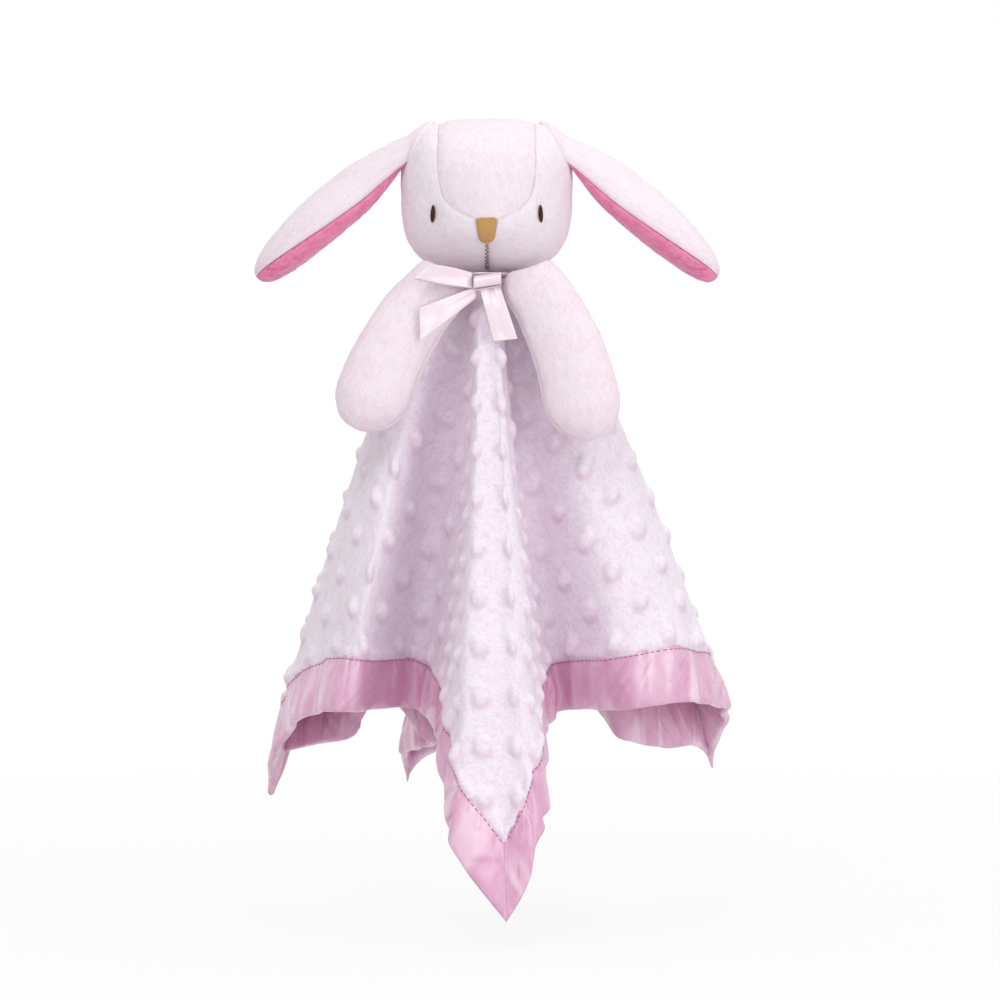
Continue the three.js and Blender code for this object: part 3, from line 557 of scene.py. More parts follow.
dot_column = np.floor(sheet_x / dot_pitch)
dot_row = np.floor(sheet_y / dot_pitch)
dot_number = ((dot_column + 40) * 97 + dot_row + 40).astype(int)
dot_size = 1 + dot_variation * np.random.default_rng(3).uniform(-1, 1, 20000)[dot_number]
dot_rise = 1 + dot_variation * np.random.default_rng(4).uniform(-1, 1, 20000)[dot_number]
from_dot = np.hypot(sheet_x - (dot_column + 0.5) * dot_pitch, sheet_y - (dot_row + 0.5) * dot_pitch)
dome = np.clip(from_dot / (dot_radius * dot_size), 0, 1)
dots = dot_height * dot_rise * (1 - dome ** 2.2) ** 1.4
dots *= ease(from_edge, binding_width - 1, binding_width + 2) * ease(np.hypot(sheet_x, sheet_y), 20, 30)
pile = pile_lift * unevenness(sheet_flat, pile_lump, 21) + 0.5 * pile_lift * unevenness(sheet_flat, 1.3, 22)
tucked = 1.0 - ease(from_edge, stitch_line - 1.5, stitch_line + 1)
crowded = edge_puff * np.exp(-((from_edge - stitch_line - 3.2) / edge_puff_width) ** 2)
plush_outer = sheet_middle + sheet_normal * (dots + pile + crowded - tucked)[..., None]
plush_inner = sheet_middle - sheet_normal * plush_thickness
dimple_sheet = two_faced("dimple_plush_sheet", plush_outer, plush_inner, sheet_flat, weld=False)
dressed(dimple_sheet, dimple_plush, "blanket", "minky_sheet")

# Painted shade in the pile's deeper colour: a painted shadow in a crescent under each dot, and painted
# shade inside the folds
dot_rim = dot_radius * dot_size * 0.92
from_middle = np.hypot(sheet_x, sheet_y)
shoulder = smooth_rows(fold_shares, -90 - np.degrees(np.arctan2(sheet_y, sheet_x)), 360)[2]
fold_shade_mask = (1 - ease(shoulder, 0.33, 0.6)) * ease(from_middle, 12, 30)
fold_shade_mask *= 1 - 0.6 * ease(from_middle, 90, 200)
below_dot = ((sheet_x - (dot_column + 0.5) * dot_pitch) * sheet_x
             + (sheet_y - (dot_row + 0.5) * dot_pitch) * sheet_y) / (from_dot * from_middle + 1e-9)
dot_shadow_mask = np.exp(-((from_dot - dot_rim) / 1.5) ** 2) * ease(below_dot, -0.3, 0.9)
painted_shade_amount = 0.9 * dot_shadow_mask * ease(from_middle, 20, 30) + 0.3 * fold_shade_mask
painted_shade_attribute = dimple_sheet.data.attributes.new("painted_dot_and_fold_shade", "FLOAT", "POINT")
painted_shade_attribute.data.foreach_set("value", np.concatenate([painted_shade_amount.ravel()] * 2))


# Satin lining
# A thin satin square under the plush, cut to the same size and caught in the same binding.
# It shows only from below and inside the folds.
lining_step = 2.6
lining_top = plush_thickness + seam_gap
satin_pink = (0.690, 0.320, 0.520, 1.0)
satin_light = (0.800, 0.470, 0.650, 1.0)
# The palest satin colour is painted highlight, laid in bands across the binding
satin_painted_highlight = (0.940, 0.710, 0.840, 1.0)
# The lining's colours are a darker copy of the binding's satin: painted shade for the cloth's underside and
# the insides of the folds
lining_pink = (0.620, 0.215, 0.395, 1.0)
lining_light = (0.740, 0.320, 0.500, 1.0)

# Satin: long floats of fine thread with slubs, and bars across them that are painted highlight bands
satin_group, satin_in, satin_out = node_group(
    "satin_weave",
    [("Place", "Vector"), ("Float Scale", "Vector"), ("Slub Scale", "Float"),
     ("Band Scale", "Vector"), ("Thread", "Color"), ("Lustre", "Color"), ("Painted Highlight", "Color")])
float_place = product(satin_group, "VectorMath", satin_in.outputs["Place"], satin_in.outputs["Float Scale"])
floats = node(satin_group, "TexNoise", {
    "Vector": float_place, "Scale": 1.0, "Detail": 2.0, "Roughness": 0.5})
slubs = node(satin_group, "TexNoise", {
    "Vector": satin_in.outputs["Place"], "Scale": satin_in.outputs["Slub Scale"], "Detail": 3.0,
    "Distortion": 0.4})
satin_mixed = product(satin_group, "Math", floats.outputs["Fac"], 0.55)
satin_even = sum_of(satin_group, slubs.outputs["Fac"], 0.45, satin_mixed)
satin_shade = node(satin_group, "MapRange", {"Value": satin_even, "From Min": 0.38, "From Max": 0.62})
satin_colour = mixed(satin_group, satin_shade.outputs["Result"],
                     satin_in.outputs["Thread"], satin_in.outputs["Lustre"])
# Painted highlight: broad bands across the strip pull the colour toward the palest one
band_place = product(satin_group, "VectorMath", satin_in.outputs["Place"], satin_in.outputs["Band Scale"])
highlight_bands = node(satin_group, "TexNoise", {
    "Vector": band_place, "Scale": 1.0, "Detail": 1.5, "Distortion": 0.7})
painted_highlight_share = node(satin_group, "MapRange", {
    "Value": highlight_bands.outputs["Fac"], "From Min": 0.48, "From Max": 0.7, "To Max": 0.75},
    interpolation_type="SMOOTHSTEP")
painted_highlight_colour = mixed(satin_group, painted_highlight_share.outputs["Result"], satin_colour, satin_in.outputs["Painted Highlight"])
satin_rough = node(satin_group, "MapRange", {
    "Value": satin_even, "From Min": 0.35, "From Max": 0.65, "To Min": 0.32, "To Max": 0.2})
give_out(satin_group, satin_out, painted_highlight_colour, floats.outputs["Fac"], satin_rough.outputs["Result"])

satin_shine = {"Specular IOR Level": 0.85, "Anisotropic": 0.3, "Sheen Weight": 0.15,
               "Sheen Roughness": 0.3, "Sheen Tint": (1.0, 0.85, 0.93, 1.0)}


def satin(name, float_scale, slub_scale, band_scale, colours, bump_height=0.00006):
    """A satin material: how fine its floats, slubs and painted highlight bars are, and its thread, lustre
    and painted highlight colours.
    """
    return cloth_material(name, satin_group, {
        "Float Scale": float_scale, "Slub Scale": slub_scale, "Band Scale": band_scale,
        "Thread": colours[0], "Lustre": colours[1], "Painted Highlight": colours[2]}, satin_shine, bump_height)


# The lining's painted highlight bands take the light satin colour
lining_satin = satin("lining_satin", (260.0, 3800.0, 3800.0), 140.0, (35.0, 35.0, 35.0),
                     (lining_pink, lining_light, satin_light))

lining_a, lining_b, lining_x, lining_y = flat_square(cloth_reach, int(2 * cloth_reach / lining_step))
lining_flat = points_of(lining_a, lining_b, 0.0)
lining_middle = cloth_face(lining_x, lining_y)
lining_normal = cloth_normal(lining_x, lining_y)
satin_lining = two_faced(
    "satin_lining_sheet",
    lining_middle - lining_normal * lining_top,
    lining_middle - lining_normal * blanket_top,
    lining_flat, weld=False)
dressed(satin_lining, lining_satin, "blanket", "satin_lining")


# Satin binding
# Four strips of satin, each folded over one edge of the blanket, mitred at the corners and
# stitched through both layers near its inner edge, where the slack gathers in small puckers.
strip_step = 1.1
fold_radius = blanket_top / 2 + 0.7
binding_pitch = 1.25
pucker_size = 3.4
pucker_lift = 0.75
pucker_squeeze = 3.2
pucker_slant = 0.45
crease_depth = 1.2
crease_width = 0.13
crease_size = 9
crease_slant = 1.1
turned_share = 0.8
inner_edge = 24.2
stitch_pitch = 3.1
stitch_length = 2.3
stitch_radius = 0.2
stitch_pink = (0.58, 0.20, 0.36, 1.0)
stitch_groove = (0.28, 0.05, 0.13, 1.0)

binding_satin = satin("binding_satin", (260.0, 3800.0, 3800.0), 140.0, (62.0, 13.0, 1.0),
                      (satin_pink, satin_light, satin_painted_highlight))

# Sewing thread: two plies twisted together, with a little fuzz, and painted shade in the grooves between
# the plies
thread_group, thread_in, thread_out = node_group(
    "twisted_thread",
    [("Place", "Vector"), ("Twist Scale", "Float"), ("Thread", "Color"), ("Groove", "Color")])
plies = node(thread_group, "TexWave", {
    "Vector": thread_in.outputs["Place"], "Scale": thread_in.outputs["Twist Scale"],
    "Distortion": 1.0, "Detail": 1.0}, bands_direction="DIAGONAL")
thread_fuzz = node(thread_group, "TexNoise", {
    "Vector": thread_in.outputs["Place"], "Scale": 2600.0, "Detail": 2.0})
ply_light = product(thread_group, "Math", plies.outputs["Fac"], 0.7)
ply_mix = sum_of(thread_group, thread_fuzz.outputs["Fac"], 0.3, ply_light)
thread_colour = mixed(thread_group, ply_mix, thread_in.outputs["Groove"], thread_in.outputs["Thread"])
thread_rough = node(thread_group, "MapRange", {"Value": ply_mix, "To Min": 0.75, "To Max": 0.5})
give_out(thread_group, thread_out, thread_colour, ply_mix, thread_rough.outputs["Result"])

thread_shine = {"Specular IOR Level": 0.4, "Sheen Weight": 0.2, "Sheen Roughness": 0.4}


def sewing_thread(name, twist_scale, thread, groove, shine=thread_shine):
    """A thread material: how tight its twist is, and the colours of its plies and grooves."""
    return cloth_material(name, thread_group, {
        "Twist Scale": twist_scale, "Thread": thread, "Groove": groove}, shine, 0.0001)


binding_thread = sewing_thread("binding_thread", 700.0, stitch_pink, stitch_groove)


def strands_piece(name, routes, normals, radius, flatten=1.0, sides=7):
    """Stitches as one mesh: each route (stitches, points, 3) becomes a thread with closed ends."""
    count, points = routes.shape[:2]
    along = np.gradient(routes, axis=1)
    along /= np.linalg.norm(along, axis=-1, keepdims=True) + 1e-12
    across = np.cross(along, normals)
    across /= np.linalg.norm(across, axis=-1, keepdims=True) + 1e-12
    up = np.cross(across, along)
    spots = np.linspace(-1, 1, points)
    taper = np.sqrt(np.clip(1 - np.abs(spots) ** 6, 0, 1))
    turns = np.arange(sides) * 2 * math.pi / sides
    rings = (routes[:, :, None]
             + across[:, :, None] * (np.cos(turns)[:, None] * radius * taper[:, None, None])
             + up[:, :, None] * (np.sin(turns)[:, None] * radius * flatten * taper[:, None, None]))
    length = np.concatenate([np.zeros((count, 1)), np.cumsum(
        np.linalg.norm(np.diff(routes, axis=1), axis=-1), axis=1)], axis=1)
    place = points_of(length[:, :, None] + 7.0 * np.arange(count)[:, None, None], turns * radius, 0.0)
    at = np.arange(count * points * sides).reshape(count, points, sides)
    at = np.concatenate([at, at[:, :, :1]], axis=2)
    return placed(name, mesh_from(name, rings.reshape(-1, 3), quads_of(at), place.reshape(-1, 3)))


def binding_skin(from_hem):
    """How far the satin stands off the cloth, at distances in from the blanket's edge."""
    puffed = 0.3 + 0.75 * np.sin(math.pi * np.clip(from_hem / stitch_line, 0, 1)) ** 0.6
    turned_in = 0.3 + 0.35 * ease(from_hem, stitch_line, stitch_line + 1.6)
    return np.where(from_hem < stitch_line, puffed, turned_in)


# The satin's path across the strip, from its inner edge on the plush side, round the hem and back
straight = np.arange(inner_edge, fold_radius, -binding_pitch)
straight[np.argmin(np.abs(straight - stitch_line))] = stitch_line
round_hem = np.radians(np.linspace(-90, 90, 9)[1:-1])
binding_pieces = []
for side, edge in enumerate(("front_left", "back_left", "back_right", "front_right")):
    starts = [math.radians(-90 - 90 * (side + i)) for i in (0, 1)]
    ends = [half_diagonal * np.array([math.cos(turn), math.sin(turn)]) for turn in starts]
    toward = (ends[1] - ends[0]) / blanket_side
    inward = -(ends[0] + ends[1]) / np.linalg.norm(ends[0] + ends[1])
    grids = []
    for skin in (1, 0):
        inside = 0 if skin else satin_thickness
        lift = binding_skin(straight) - inside * turned_share
        hem_lift = binding_skin(np.array([fold_radius]))[0] - inside * turned_share
        hem_x = fold_radius - (fold_radius - inside) * np.cos(round_hem)
        hem_z = blanket_top / 2 + (blanket_top / 2 + hem_lift) * np.sin(round_hem)
        in_from_edge = np.concatenate([straight, hem_x, straight[::-1]])
        depth = np.concatenate([-lift, hem_z, blanket_top + lift[::-1]])
        columns = int(blanket_side / strip_step)
        share = np.linspace(-1, 1, columns)
        along = share[None, :] * (blanket_side / 2 - in_from_edge[:, None])
        inset = np.broadcast_to(in_from_edge[:, None], along.shape)
        flat_x = ends[0][0] + toward[0] * (blanket_side / 2 + along) + inward[0] * inset
        flat_y = ends[0][1] + toward[1] * (blanket_side / 2 + along) + inward[1] * inset
        middle = cloth_face(flat_x, flat_y)
        normal = cloth_normal(flat_x, flat_y)
        stretch = np.linalg.norm(np.gradient(middle, axis=1), axis=-1) / np.gradient(along, axis=1)
        squeeze = np.clip(1.05 - stretch, 0, 0.7)
        upper = np.where(np.arange(len(depth)) < len(straight) + len(round_hem) / 2, 1.0, -1.0)[:, None]
        drift = along + pucker_slant * (stitch_line - inset)
        ridges = points_of(drift, upper * 40, 0.12 * inset)
        slants = points_of(along + crease_slant * inset, upper * 40, 0.05 * inset)
        near_seam = np.exp(-np.abs(stitch_line - inset) / 7)
        small = unevenness(ridges, pucker_size, 31 + side)
        broad = unevenness(ridges, 4 * pucker_size, 41 + side)
        slanting = unevenness(slants, crease_size, 47 + side)
        crush = (pucker_lift + pucker_squeeze * squeeze) * (small * near_seam * 0.7 + broad * 0.5)
        crush -= crease_depth * (1 - ease(np.abs(slanting), 0, crease_width)) * (0.4 + squeeze)
        crush *= ease(inset, 0, 6) * ease(blanket_side / 2 - np.abs(along) - inset, 0, 5)
        crush *= ease(np.abs(inset - stitch_line), 0, 1.6)
        shifted = depth[:, None] - upper * np.maximum(crush, -0.25 * np.ones_like(crush))
        grids.append((middle - normal * shifted[..., None], normal, upper))
    (outer_grid, outer_normal, upper), (inner_grid, _, _) = grids
    strip_place = points_of(along, inset + upper * 40, 0.0)
    strip = two_faced(f"binding_strip_{edge}", outer_grid, inner_grid, strip_place)
    dressed(strip, binding_satin, "blanket", f"binding_{edge}")
    seam_row = int(np.argmin(np.abs(straight - stitch_line)))
    routes, facing = [], []
    for row, way in ((seam_row, 1), (len(in_from_edge) - 1 - seam_row, -1)):
        line, face_way = outer_grid[row], outer_normal[row] * way
        spots = along[row]
        middles = np.arange(spots[0] + 3, spots[-1] - 3, stitch_pitch)
        reach = middles[:, None] + np.linspace(-0.5, 0.5, 7) * stitch_length
        arch = 0.16 - 0.34 * np.abs(np.linspace(-1, 1, 7)) ** 4
        on_line = np.stack([np.interp(reach, spots, line[:, i]) for i in range(3)], -1)
        out = np.stack([np.interp(reach, spots, face_way[:, i]) for i in range(3)], -1)
        routes.append(on_line + out * arch[:, None])
        facing.append(out)
    stitching = strands_piece(f"binding_stitches_{edge}", np.concatenate(routes),
                              np.concatenate(facing), stitch_radius)
    dressed(stitching, binding_thread, "blanket")
    binding_pieces += [strip, stitching]


# Neck seam
# A ring of strong thread under the chin, taken round in slanting stitches, joins the head
# to the gathered middle of the blanket.
neck_ring_radius = 13.0
neck_thread = 1.1
neck_level = blanket_top + neck_thread
neck_stitches = 40
neck_thread_radius = 0.42
neck_pink = (0.80, 0.58, 0.68, 1.0)
neck_groove = (0.60, 0.36, 0.47, 1.0)
neck_twist = np.linspace(-0.5, 0.5, 9)
neck_turn = (np.arange(neck_stitches)[:, None] + 0.5 + 1.5 * neck_twist) * 2 * math.pi / neck_stitches
neck_out = neck_ring_radius + 0.45 * np.cos(neck_twist * 2 * math.pi)
neck_routes = points_of(neck_out * np.cos(neck_turn), neck_out * np.sin(neck_turn),
                        neck_level + 0.6 * neck_twist)
neck_facing = points_of(np.cos(neck_turn), np.sin(neck_turn), 0.0)
neck_seam = strands_piece("neck_seam_stitches", neck_routes, neck_facing, neck_thread_radius)
seam_thread = sewing_thread("seam_thread", 500.0, neck_pink, neck_groove)
dressed(neck_seam, seam_thread, "neck", "neck_seam_ring")


# Head cover
# Three panels of short plush sewn inside out, turned and stuffed: a panel from the nose over
# the crown to the nape, and a panel on each side. The seams sink between the full panels.
head_half_width = 38.0
head_radius = 36.0
crown_height = 33.4
muzzle_rise = 3.0
cover_thickness = 2.0
stuffing_ease = 0.95
head_centre = neck_level + head_radius
muzzle_angle = -28.0
muzzle_spread = 22.0
chin_spread = 14.0
seam_dip = 0.55
seam_softness = 2.6
panel_swell = 0.5
socket_depth = 1.0
socket_size = 3.6
panel_step = 1.6
eye_nod = -21.8
eye_spacing = 47.2
short_pink = (0.920, 0.850, 0.910, 1.0)
short_deep = (0.850, 0.720, 0.810, 1.0)
crown_pink = (0.925, 0.835, 0.900, 1.0)
crown_deep = (0.860, 0.710, 0.800, 1.0)
gusset_shares = np.array([
    [-28, 0.03], [-22, 0.16], [-17, 0.36], [-8, 0.5], [10, 0.57], [45, 0.58], [90, 0.56],
    [140, 0.54], [190, 0.42], [230, 0.24], [256, 0.05]])

short_plush = plush("short_plush", (1300.0, 1300.0, 420.0), 85.0, short_pink, short_deep)
crown_plush = plush("crown_plush", (1300.0, 1300.0, 420.0), 70.0, crown_pink, crown_deep)


def squareness(nod):
    """2 round the face, 3.6 at the crown, which is flatter across, and 2.7 under the full cheeks."""
    rise = np.sin(np.radians(nod))
    return 2 + 0.45 * rise + 1.15 * rise ** 2


def head_surface(nod, side, depth=0.0):
    """A point of the head under its surface. nod turns about the X axis from the face, 0, over
    the crown, 90, and side turns from the middle line, 0, to a cheek, 90."""
    nod = np.mod(np.asarray(nod, float) + 180, 360) - 180
    nod, side = np.broadcast_arrays(nod, side)
    up = np.maximum(np.sin(np.radians(nod)), 0)
    to_muzzle = (nod - muzzle_angle) / np.where(nod < muzzle_angle, chin_spread, muzzle_spread)
    rise = muzzle_rise * np.exp(-to_muzzle ** 2) * np.cos(np.radians(side)) ** 2
    radius = head_radius + (crown_height - head_radius) * up ** 2 + rise - depth
    across = np.abs(np.sin(np.radians(side))) ** (2 / squareness(nod))
    around = np.abs(np.cos(np.radians(side))) ** (2 / squareness(nod))
    return points_of(np.sign(side) * across * (head_half_width - depth),
                     -np.cos(np.radians(nod)) * around * radius,
                     np.sin(np.radians(nod)) * around * radius + head_centre)


def side_angle(share, nod):
    """The side angle at which the head is this share of its half width across."""
    return np.degrees(np.arcsin(np.clip(share, 0, 1) ** (squareness(nod) / 2)))


def gusset_share(nod):
    """Half width of the crown panel as a share of the head's half width, nothing under the chin."""
    share = smooth_rows(gusset_shares, nod)[0]
    return np.where((nod < -28) | (nod > 256), 0.0, share)


def plush_relief(points, to_seam, seed):
    """How far a stuffed panel stands over the plain form: swell, seam dip, puckers and pile."""
    dip = seam_dip * np.exp(-(to_seam / seam_softness) ** 2)
    swell = panel_swell * (1 - np.exp(-to_seam / 9)) + 0.35 * unevenness(points, 17, seed)
    pucker = 0.4 * unevenness(points, 5, seed + 1) * np.exp(-to_seam / 5) * (1 - np.exp(-to_seam / 1.2))
    fuzz = 0.17 * unevenness(points, 2.2, seed + 2) + 0.1 * unevenness(points, 1.2, seed + 3)
    return swell - dip + pucker + fuzz


crown_nods = np.arange(-28, 256.1, panel_step)[:, None]
crown_shares = np.linspace(-1, 1, 45)[None, :]
crown_half = gusset_share(crown_nods)
crown_sides = np.sign(crown_shares) * side_angle(crown_half * np.abs(crown_shares), crown_nods)
crown_to_seam = (1 - np.abs(crown_shares)) * crown_half * head_half_width
crown_plain = head_surface(crown_nods, crown_sides)
crown_relief = plush_relief(crown_plain, crown_to_seam, 51)
crown_panel = two_faced(
    "head_crown_panel",
    head_surface(crown_nods, crown_sides, -crown_relief),
    head_surface(crown_nods, crown_sides, cover_thickness),
    crown_plain)
dressed(crown_panel, crown_plush, "head", "head_gusset")

cheek_nods = np.arange(-28, 332, panel_step)[None, :]
cheek_shares = (np.linspace(0, 1, 52) ** 0.9)[:, None]
eye_side = float(side_angle(eye_spacing / 2 / head_half_width, eye_nod))
for way, side_name in ((-1, "left"), (1, "right")):
    seam_angle = side_angle(gusset_share(cheek_nods), cheek_nods)
    cheek_sides = seam_angle + (90 - seam_angle) * cheek_shares
    cheek_plain = head_surface(cheek_nods, way * cheek_sides)
    cheek_to_seam = np.radians(cheek_sides - seam_angle) * head_radius
    cheek_relief = plush_relief(cheek_plain, cheek_to_seam, 51)
    from_eye = cheek_plain - head_surface(eye_nod, way * eye_side)
    from_socket = np.hypot(from_eye[..., 0], 0.5 * from_eye[..., 2])
    cheek_relief -= socket_depth * np.exp(-(from_socket / socket_size) ** 2)
    cheek = two_faced(
        f"head_side_panel_{side_name}",
        head_surface(cheek_nods, way * cheek_sides, -cheek_relief),
        head_surface(cheek_nods, way * cheek_sides, cover_thickness),
        cheek_plain, ring=True)
    dressed(cheek, short_plush, "head", f"head_side_{side_name}")


# Fibre filling
# Loose polyester fibre pushed in through the neck and the shoulders until the covers are full.
# It is lumpy, and it is never seen.
fibre_white = (0.86, 0.85, 0.84, 1.0)
fibre_grey = (0.70, 0.69, 0.68, 1.0)
fibre = cloth_material("fibre_filling", pile_group, {
    "Strand Scale": (700.0, 700.0, 700.0), "Brushing Scale": 60.0,
    "Pile": fibre_white, "Depth": fibre_grey}, {"Sheen Weight": 0.2}, 0.001)


def filled(name, rings, place):
    """A closed form from a grid of rings (rows, columns, 3) that shrink to a point at both ends."""
    rows, columns = rings.shape[:2]
    at = np.arange(rows * columns).reshape(rows, columns)
    at = np.hstack([at, at[:, :1]])
    return placed(name, mesh_from(name, rings.reshape(-1, 3), quads_of(at), place.reshape(-1, 3)))


filling_nods = np.arange(-28, 332, 5)[None, :]
filling_sides = np.linspace(-90, 90, 40)[:, None]
filling_plain = head_surface(filling_nods, filling_sides, cover_thickness + stuffing_ease)
filling_lumps = 0.5 + 0.5 * unevenness(filling_plain, 12, 71)
head_filling = filled("head_fibre_filling", head_surface(
    filling_nods, filling_sides, cover_thickness + stuffing_ease + filling_lumps), filling_plain)
dressed(head_filling, fibre, "head", "head_stuffing")


# Embroidered face
# Narrow satin-stitched eyes of dark brown thread and a shield-shaped nose of golden tan thread,
# worked through the cover, with one twisted stitch from the nose down to the chin for a mouth.
degrees_per_mm = math.degrees(1 / head_radius)
eye_height = 9.0
eye_width = 2.2
eye_rows = 22
eye_thread_radius = 0.34
nose_width = 9.9
nose_rows = 24
nose_thread_radius = 0.36
nose_height = 12.0
nose_nod = -30.0
thread_rise = 0.63
eye_brown = (0.069, 0.014, 0.013, 1.0)
eye_groove = (0.030, 0.006, 0.006, 1.0)
nose_tan = (0.70, 0.43, 0.16, 1.0)
nose_groove = (0.47, 0.24, 0.07, 1.0)
mouth_brown = (0.22, 0.075, 0.06, 1.0)
mouth_groove = (0.10, 0.03, 0.025, 1.0)


def eye_outline(spot):
    """Half width of the eye at a height from -1 to 1."""
    return eye_width / 2 * np.sqrt(np.clip(1 - spot ** 2, 0, 1))


def nose_outline(spot):
    """Half width of the nose at a height from -1, its narrow end, to 1, its flat top."""
    narrowing = 0.42 + 0.58 * (0.5 + 0.5 * spot) ** 0.8
    power = np.where(spot < 0, 5, 24)
    return nose_width / 2 * narrowing * np.clip(1 - np.abs(spot) ** power, 0, 1) ** 0.5


def embroidered(name, nod, side, height, outline, rows, radius, material, node_name):
    """A patch of flat threads laid side by side across its outline, over a raised middle."""
    heights = np.linspace(-0.97, 0.97, rows)[:, None]
    across = np.linspace(-1, 1, 13)[None, :]
    half = outline(heights)
    crown = thread_rise * np.sqrt(np.clip(1 - heights ** 2, 0, 1)) * (1 - 0.9 * across ** 4)
    lean = 0.15 * across
    nods = nod + (heights * height / 2 + lean) * degrees_per_mm
    sides = side + across * half * degrees_per_mm
    routes = head_surface(nods, sides, -0.15 - crown)
    facing = routes - head_surface(nods, sides, 5)
    facing /= np.linalg.norm(facing, axis=-1, keepdims=True)
    made = strands_piece(name, routes, facing, radius, flatten=0.75)
    return dressed(made, material, "head", node_name)


eye_thread = sewing_thread("eye_thread", 420.0, eye_brown, eye_groove, {"Specular IOR Level": 0.25})
nose_thread = sewing_thread("nose_thread", 420.0, nose_tan, nose_groove)
mouth_thread = sewing_thread("mouth_thread", 420.0, mouth_brown, mouth_groove)
for way, side_name in ((-1, "left"), (1, "right")):
    embroidered(f"{side_name}_eye_stitches", eye_nod, way * eye_side, eye_height, eye_outline,
                eye_rows, eye_thread_radius, eye_thread, f"{side_name}_eye")
embroidered("nose_stitches", nose_nod, 0.0, nose_height, nose_outline,
            nose_rows, nose_thread_radius, nose_thread, "nose")

# The mouth is a row of short stitches that slant to one side and the other in turn
mouth_start = -40.5
mouth_end = -71.0
mouth_stitches = 15
mouth_slant = 0.38
mouth_thread_radius = 0.2
mouth_step = (mouth_end - mouth_start) / mouth_stitches
mouth_middles = mouth_start + mouth_step * (np.arange(mouth_stitches)[:, None] + 0.5)
mouth_spread = np.linspace(-1, 1, 9)[None, :]
mouth_nods = mouth_middles + mouth_spread * mouth_step * 0.42
mouth_ways = np.where(np.arange(mouth_stitches) % 2, 1, -1)[:, None]
mouth_sides = mouth_ways * mouth_spread * mouth_slant * degrees_per_mm
mouth_line = head_surface(mouth_nods, mouth_sides, -0.42 + 0.35 * mouth_spread ** 4)
mouth_out = mouth_line - head_surface(mouth_nods, mouth_sides, 5)
mouth_out /= np.linalg.norm(mouth_out, axis=-1, keepdims=True)
mouth = strands_piece("mouth_stitch_thread", mouth_line, mouth_out, mouth_thread_radius)
dressed(mouth, mouth_thread, "head", "mouth_stitch")


# Ears
# Each ear is a plush half and a bright lining half, sewn round the edge, turned and lightly
# stuffed, then caught in the seam between the crown and the side of the head.
ear_length = 88.0
ear_width = 38.0
ear_root_width = 26.0
ear_thickness = 20.0
ear_arch = 1.7
ear_root_depth = 10.0
ear_droop = 39.5
ear_sweep_back = 7.0
ear_root_roll = 40.0
ear_unroll = 0.7
ear_root_nod = 86.0
ear_root_share = 0.96
ear_widest = 0.58
ear_root_thick = 0.65
ear_tip_power = 2.3
ear_sunk = 0.5
root_lift = 2.0
root_lift_spot = 0.17
root_lift_spread = 0.13
root_inner_share = 0.6
root_outer_share = 0.9
root_spread = 50.0
root_reach = 27.0
limb_pink = (0.930, 0.830, 0.895, 1.0)
limb_deep = (0.870, 0.685, 0.780, 1.0)
ear_pink = (0.900, 0.300, 0.500, 1.0)
ear_pink_deep = (0.690, 0.110, 0.290, 1.0)

ear_plush = plush("ear_plush", (420.0, 1300.0, 1300.0), 85.0, limb_pink, limb_deep)
ear_lining_plush = plush("ear_lining_plush", (300.0, 1100.0, 1100.0), 95.0, ear_pink, ear_pink_deep)


def moved(points, matrix):
    """Points carried by a matrix."""
    turned = np.array(matrix)
    return points @ turned[:3, :3].T + turned[:3, 3]


def clear_of_head(points, depth):
    """Points inside the head come straight out to this depth under its surface."""
    from_middle = points - [0, 0, head_centre]
    nod = np.degrees(np.arctan2(from_middle[..., 2], -from_middle[..., 1]))
    up = np.maximum(np.sin(np.radians(nod)), 0)
    radius = head_radius + (crown_height - head_radius) * up ** 2
    power = squareness(nod)
    reach = (np.abs(from_middle[..., 0]) / head_half_width) ** power + (
        np.hypot(from_middle[..., 1], from_middle[..., 2]) / radius) ** power
    at_surface = np.maximum(reach, 1e-9) ** (-1 / power) * (1 - depth / head_radius)
    grow = np.maximum(at_surface, 1.0)
    return from_middle * grow[..., None] + [0, 0, head_centre]


def ear_profile(share):
    """Half width and half thickness of the ear at a share of its length."""
    grow = np.sin(np.clip(share / ear_widest, 0, 1) * math.pi / 2) ** 2
    to_tip = np.clip((share - ear_widest) / (1 - ear_widest), 0, 1)
    closing = np.clip(1 - to_tip ** ear_tip_power, 0, 1) ** (1 / ear_tip_power)
    half = (ear_root_width + (ear_width - ear_root_width) * grow) / 2 * closing
    thick = ear_thickness / 2 * (ear_root_thick + (1 - ear_root_thick) * grow) * closing
    return half, thick


def rolled(along, across, out):
    """Points of an ear, rolled to show the plush at its root, with the roll dying away to the tip."""
    roll = np.radians(ear_root_roll * (1 - ear_rows) ** ear_unroll)
    arch = 4 * ear_arch * ear_rows * (1 - ear_rows)
    arch += root_lift * np.exp(-((ear_rows - root_lift_spot) / root_lift_spread) ** 2)
    turned = across * np.cos(roll) - out * np.sin(roll), across * np.sin(roll) + out * np.cos(roll)
    return points_of(along, turned[0], turned[1] + arch)


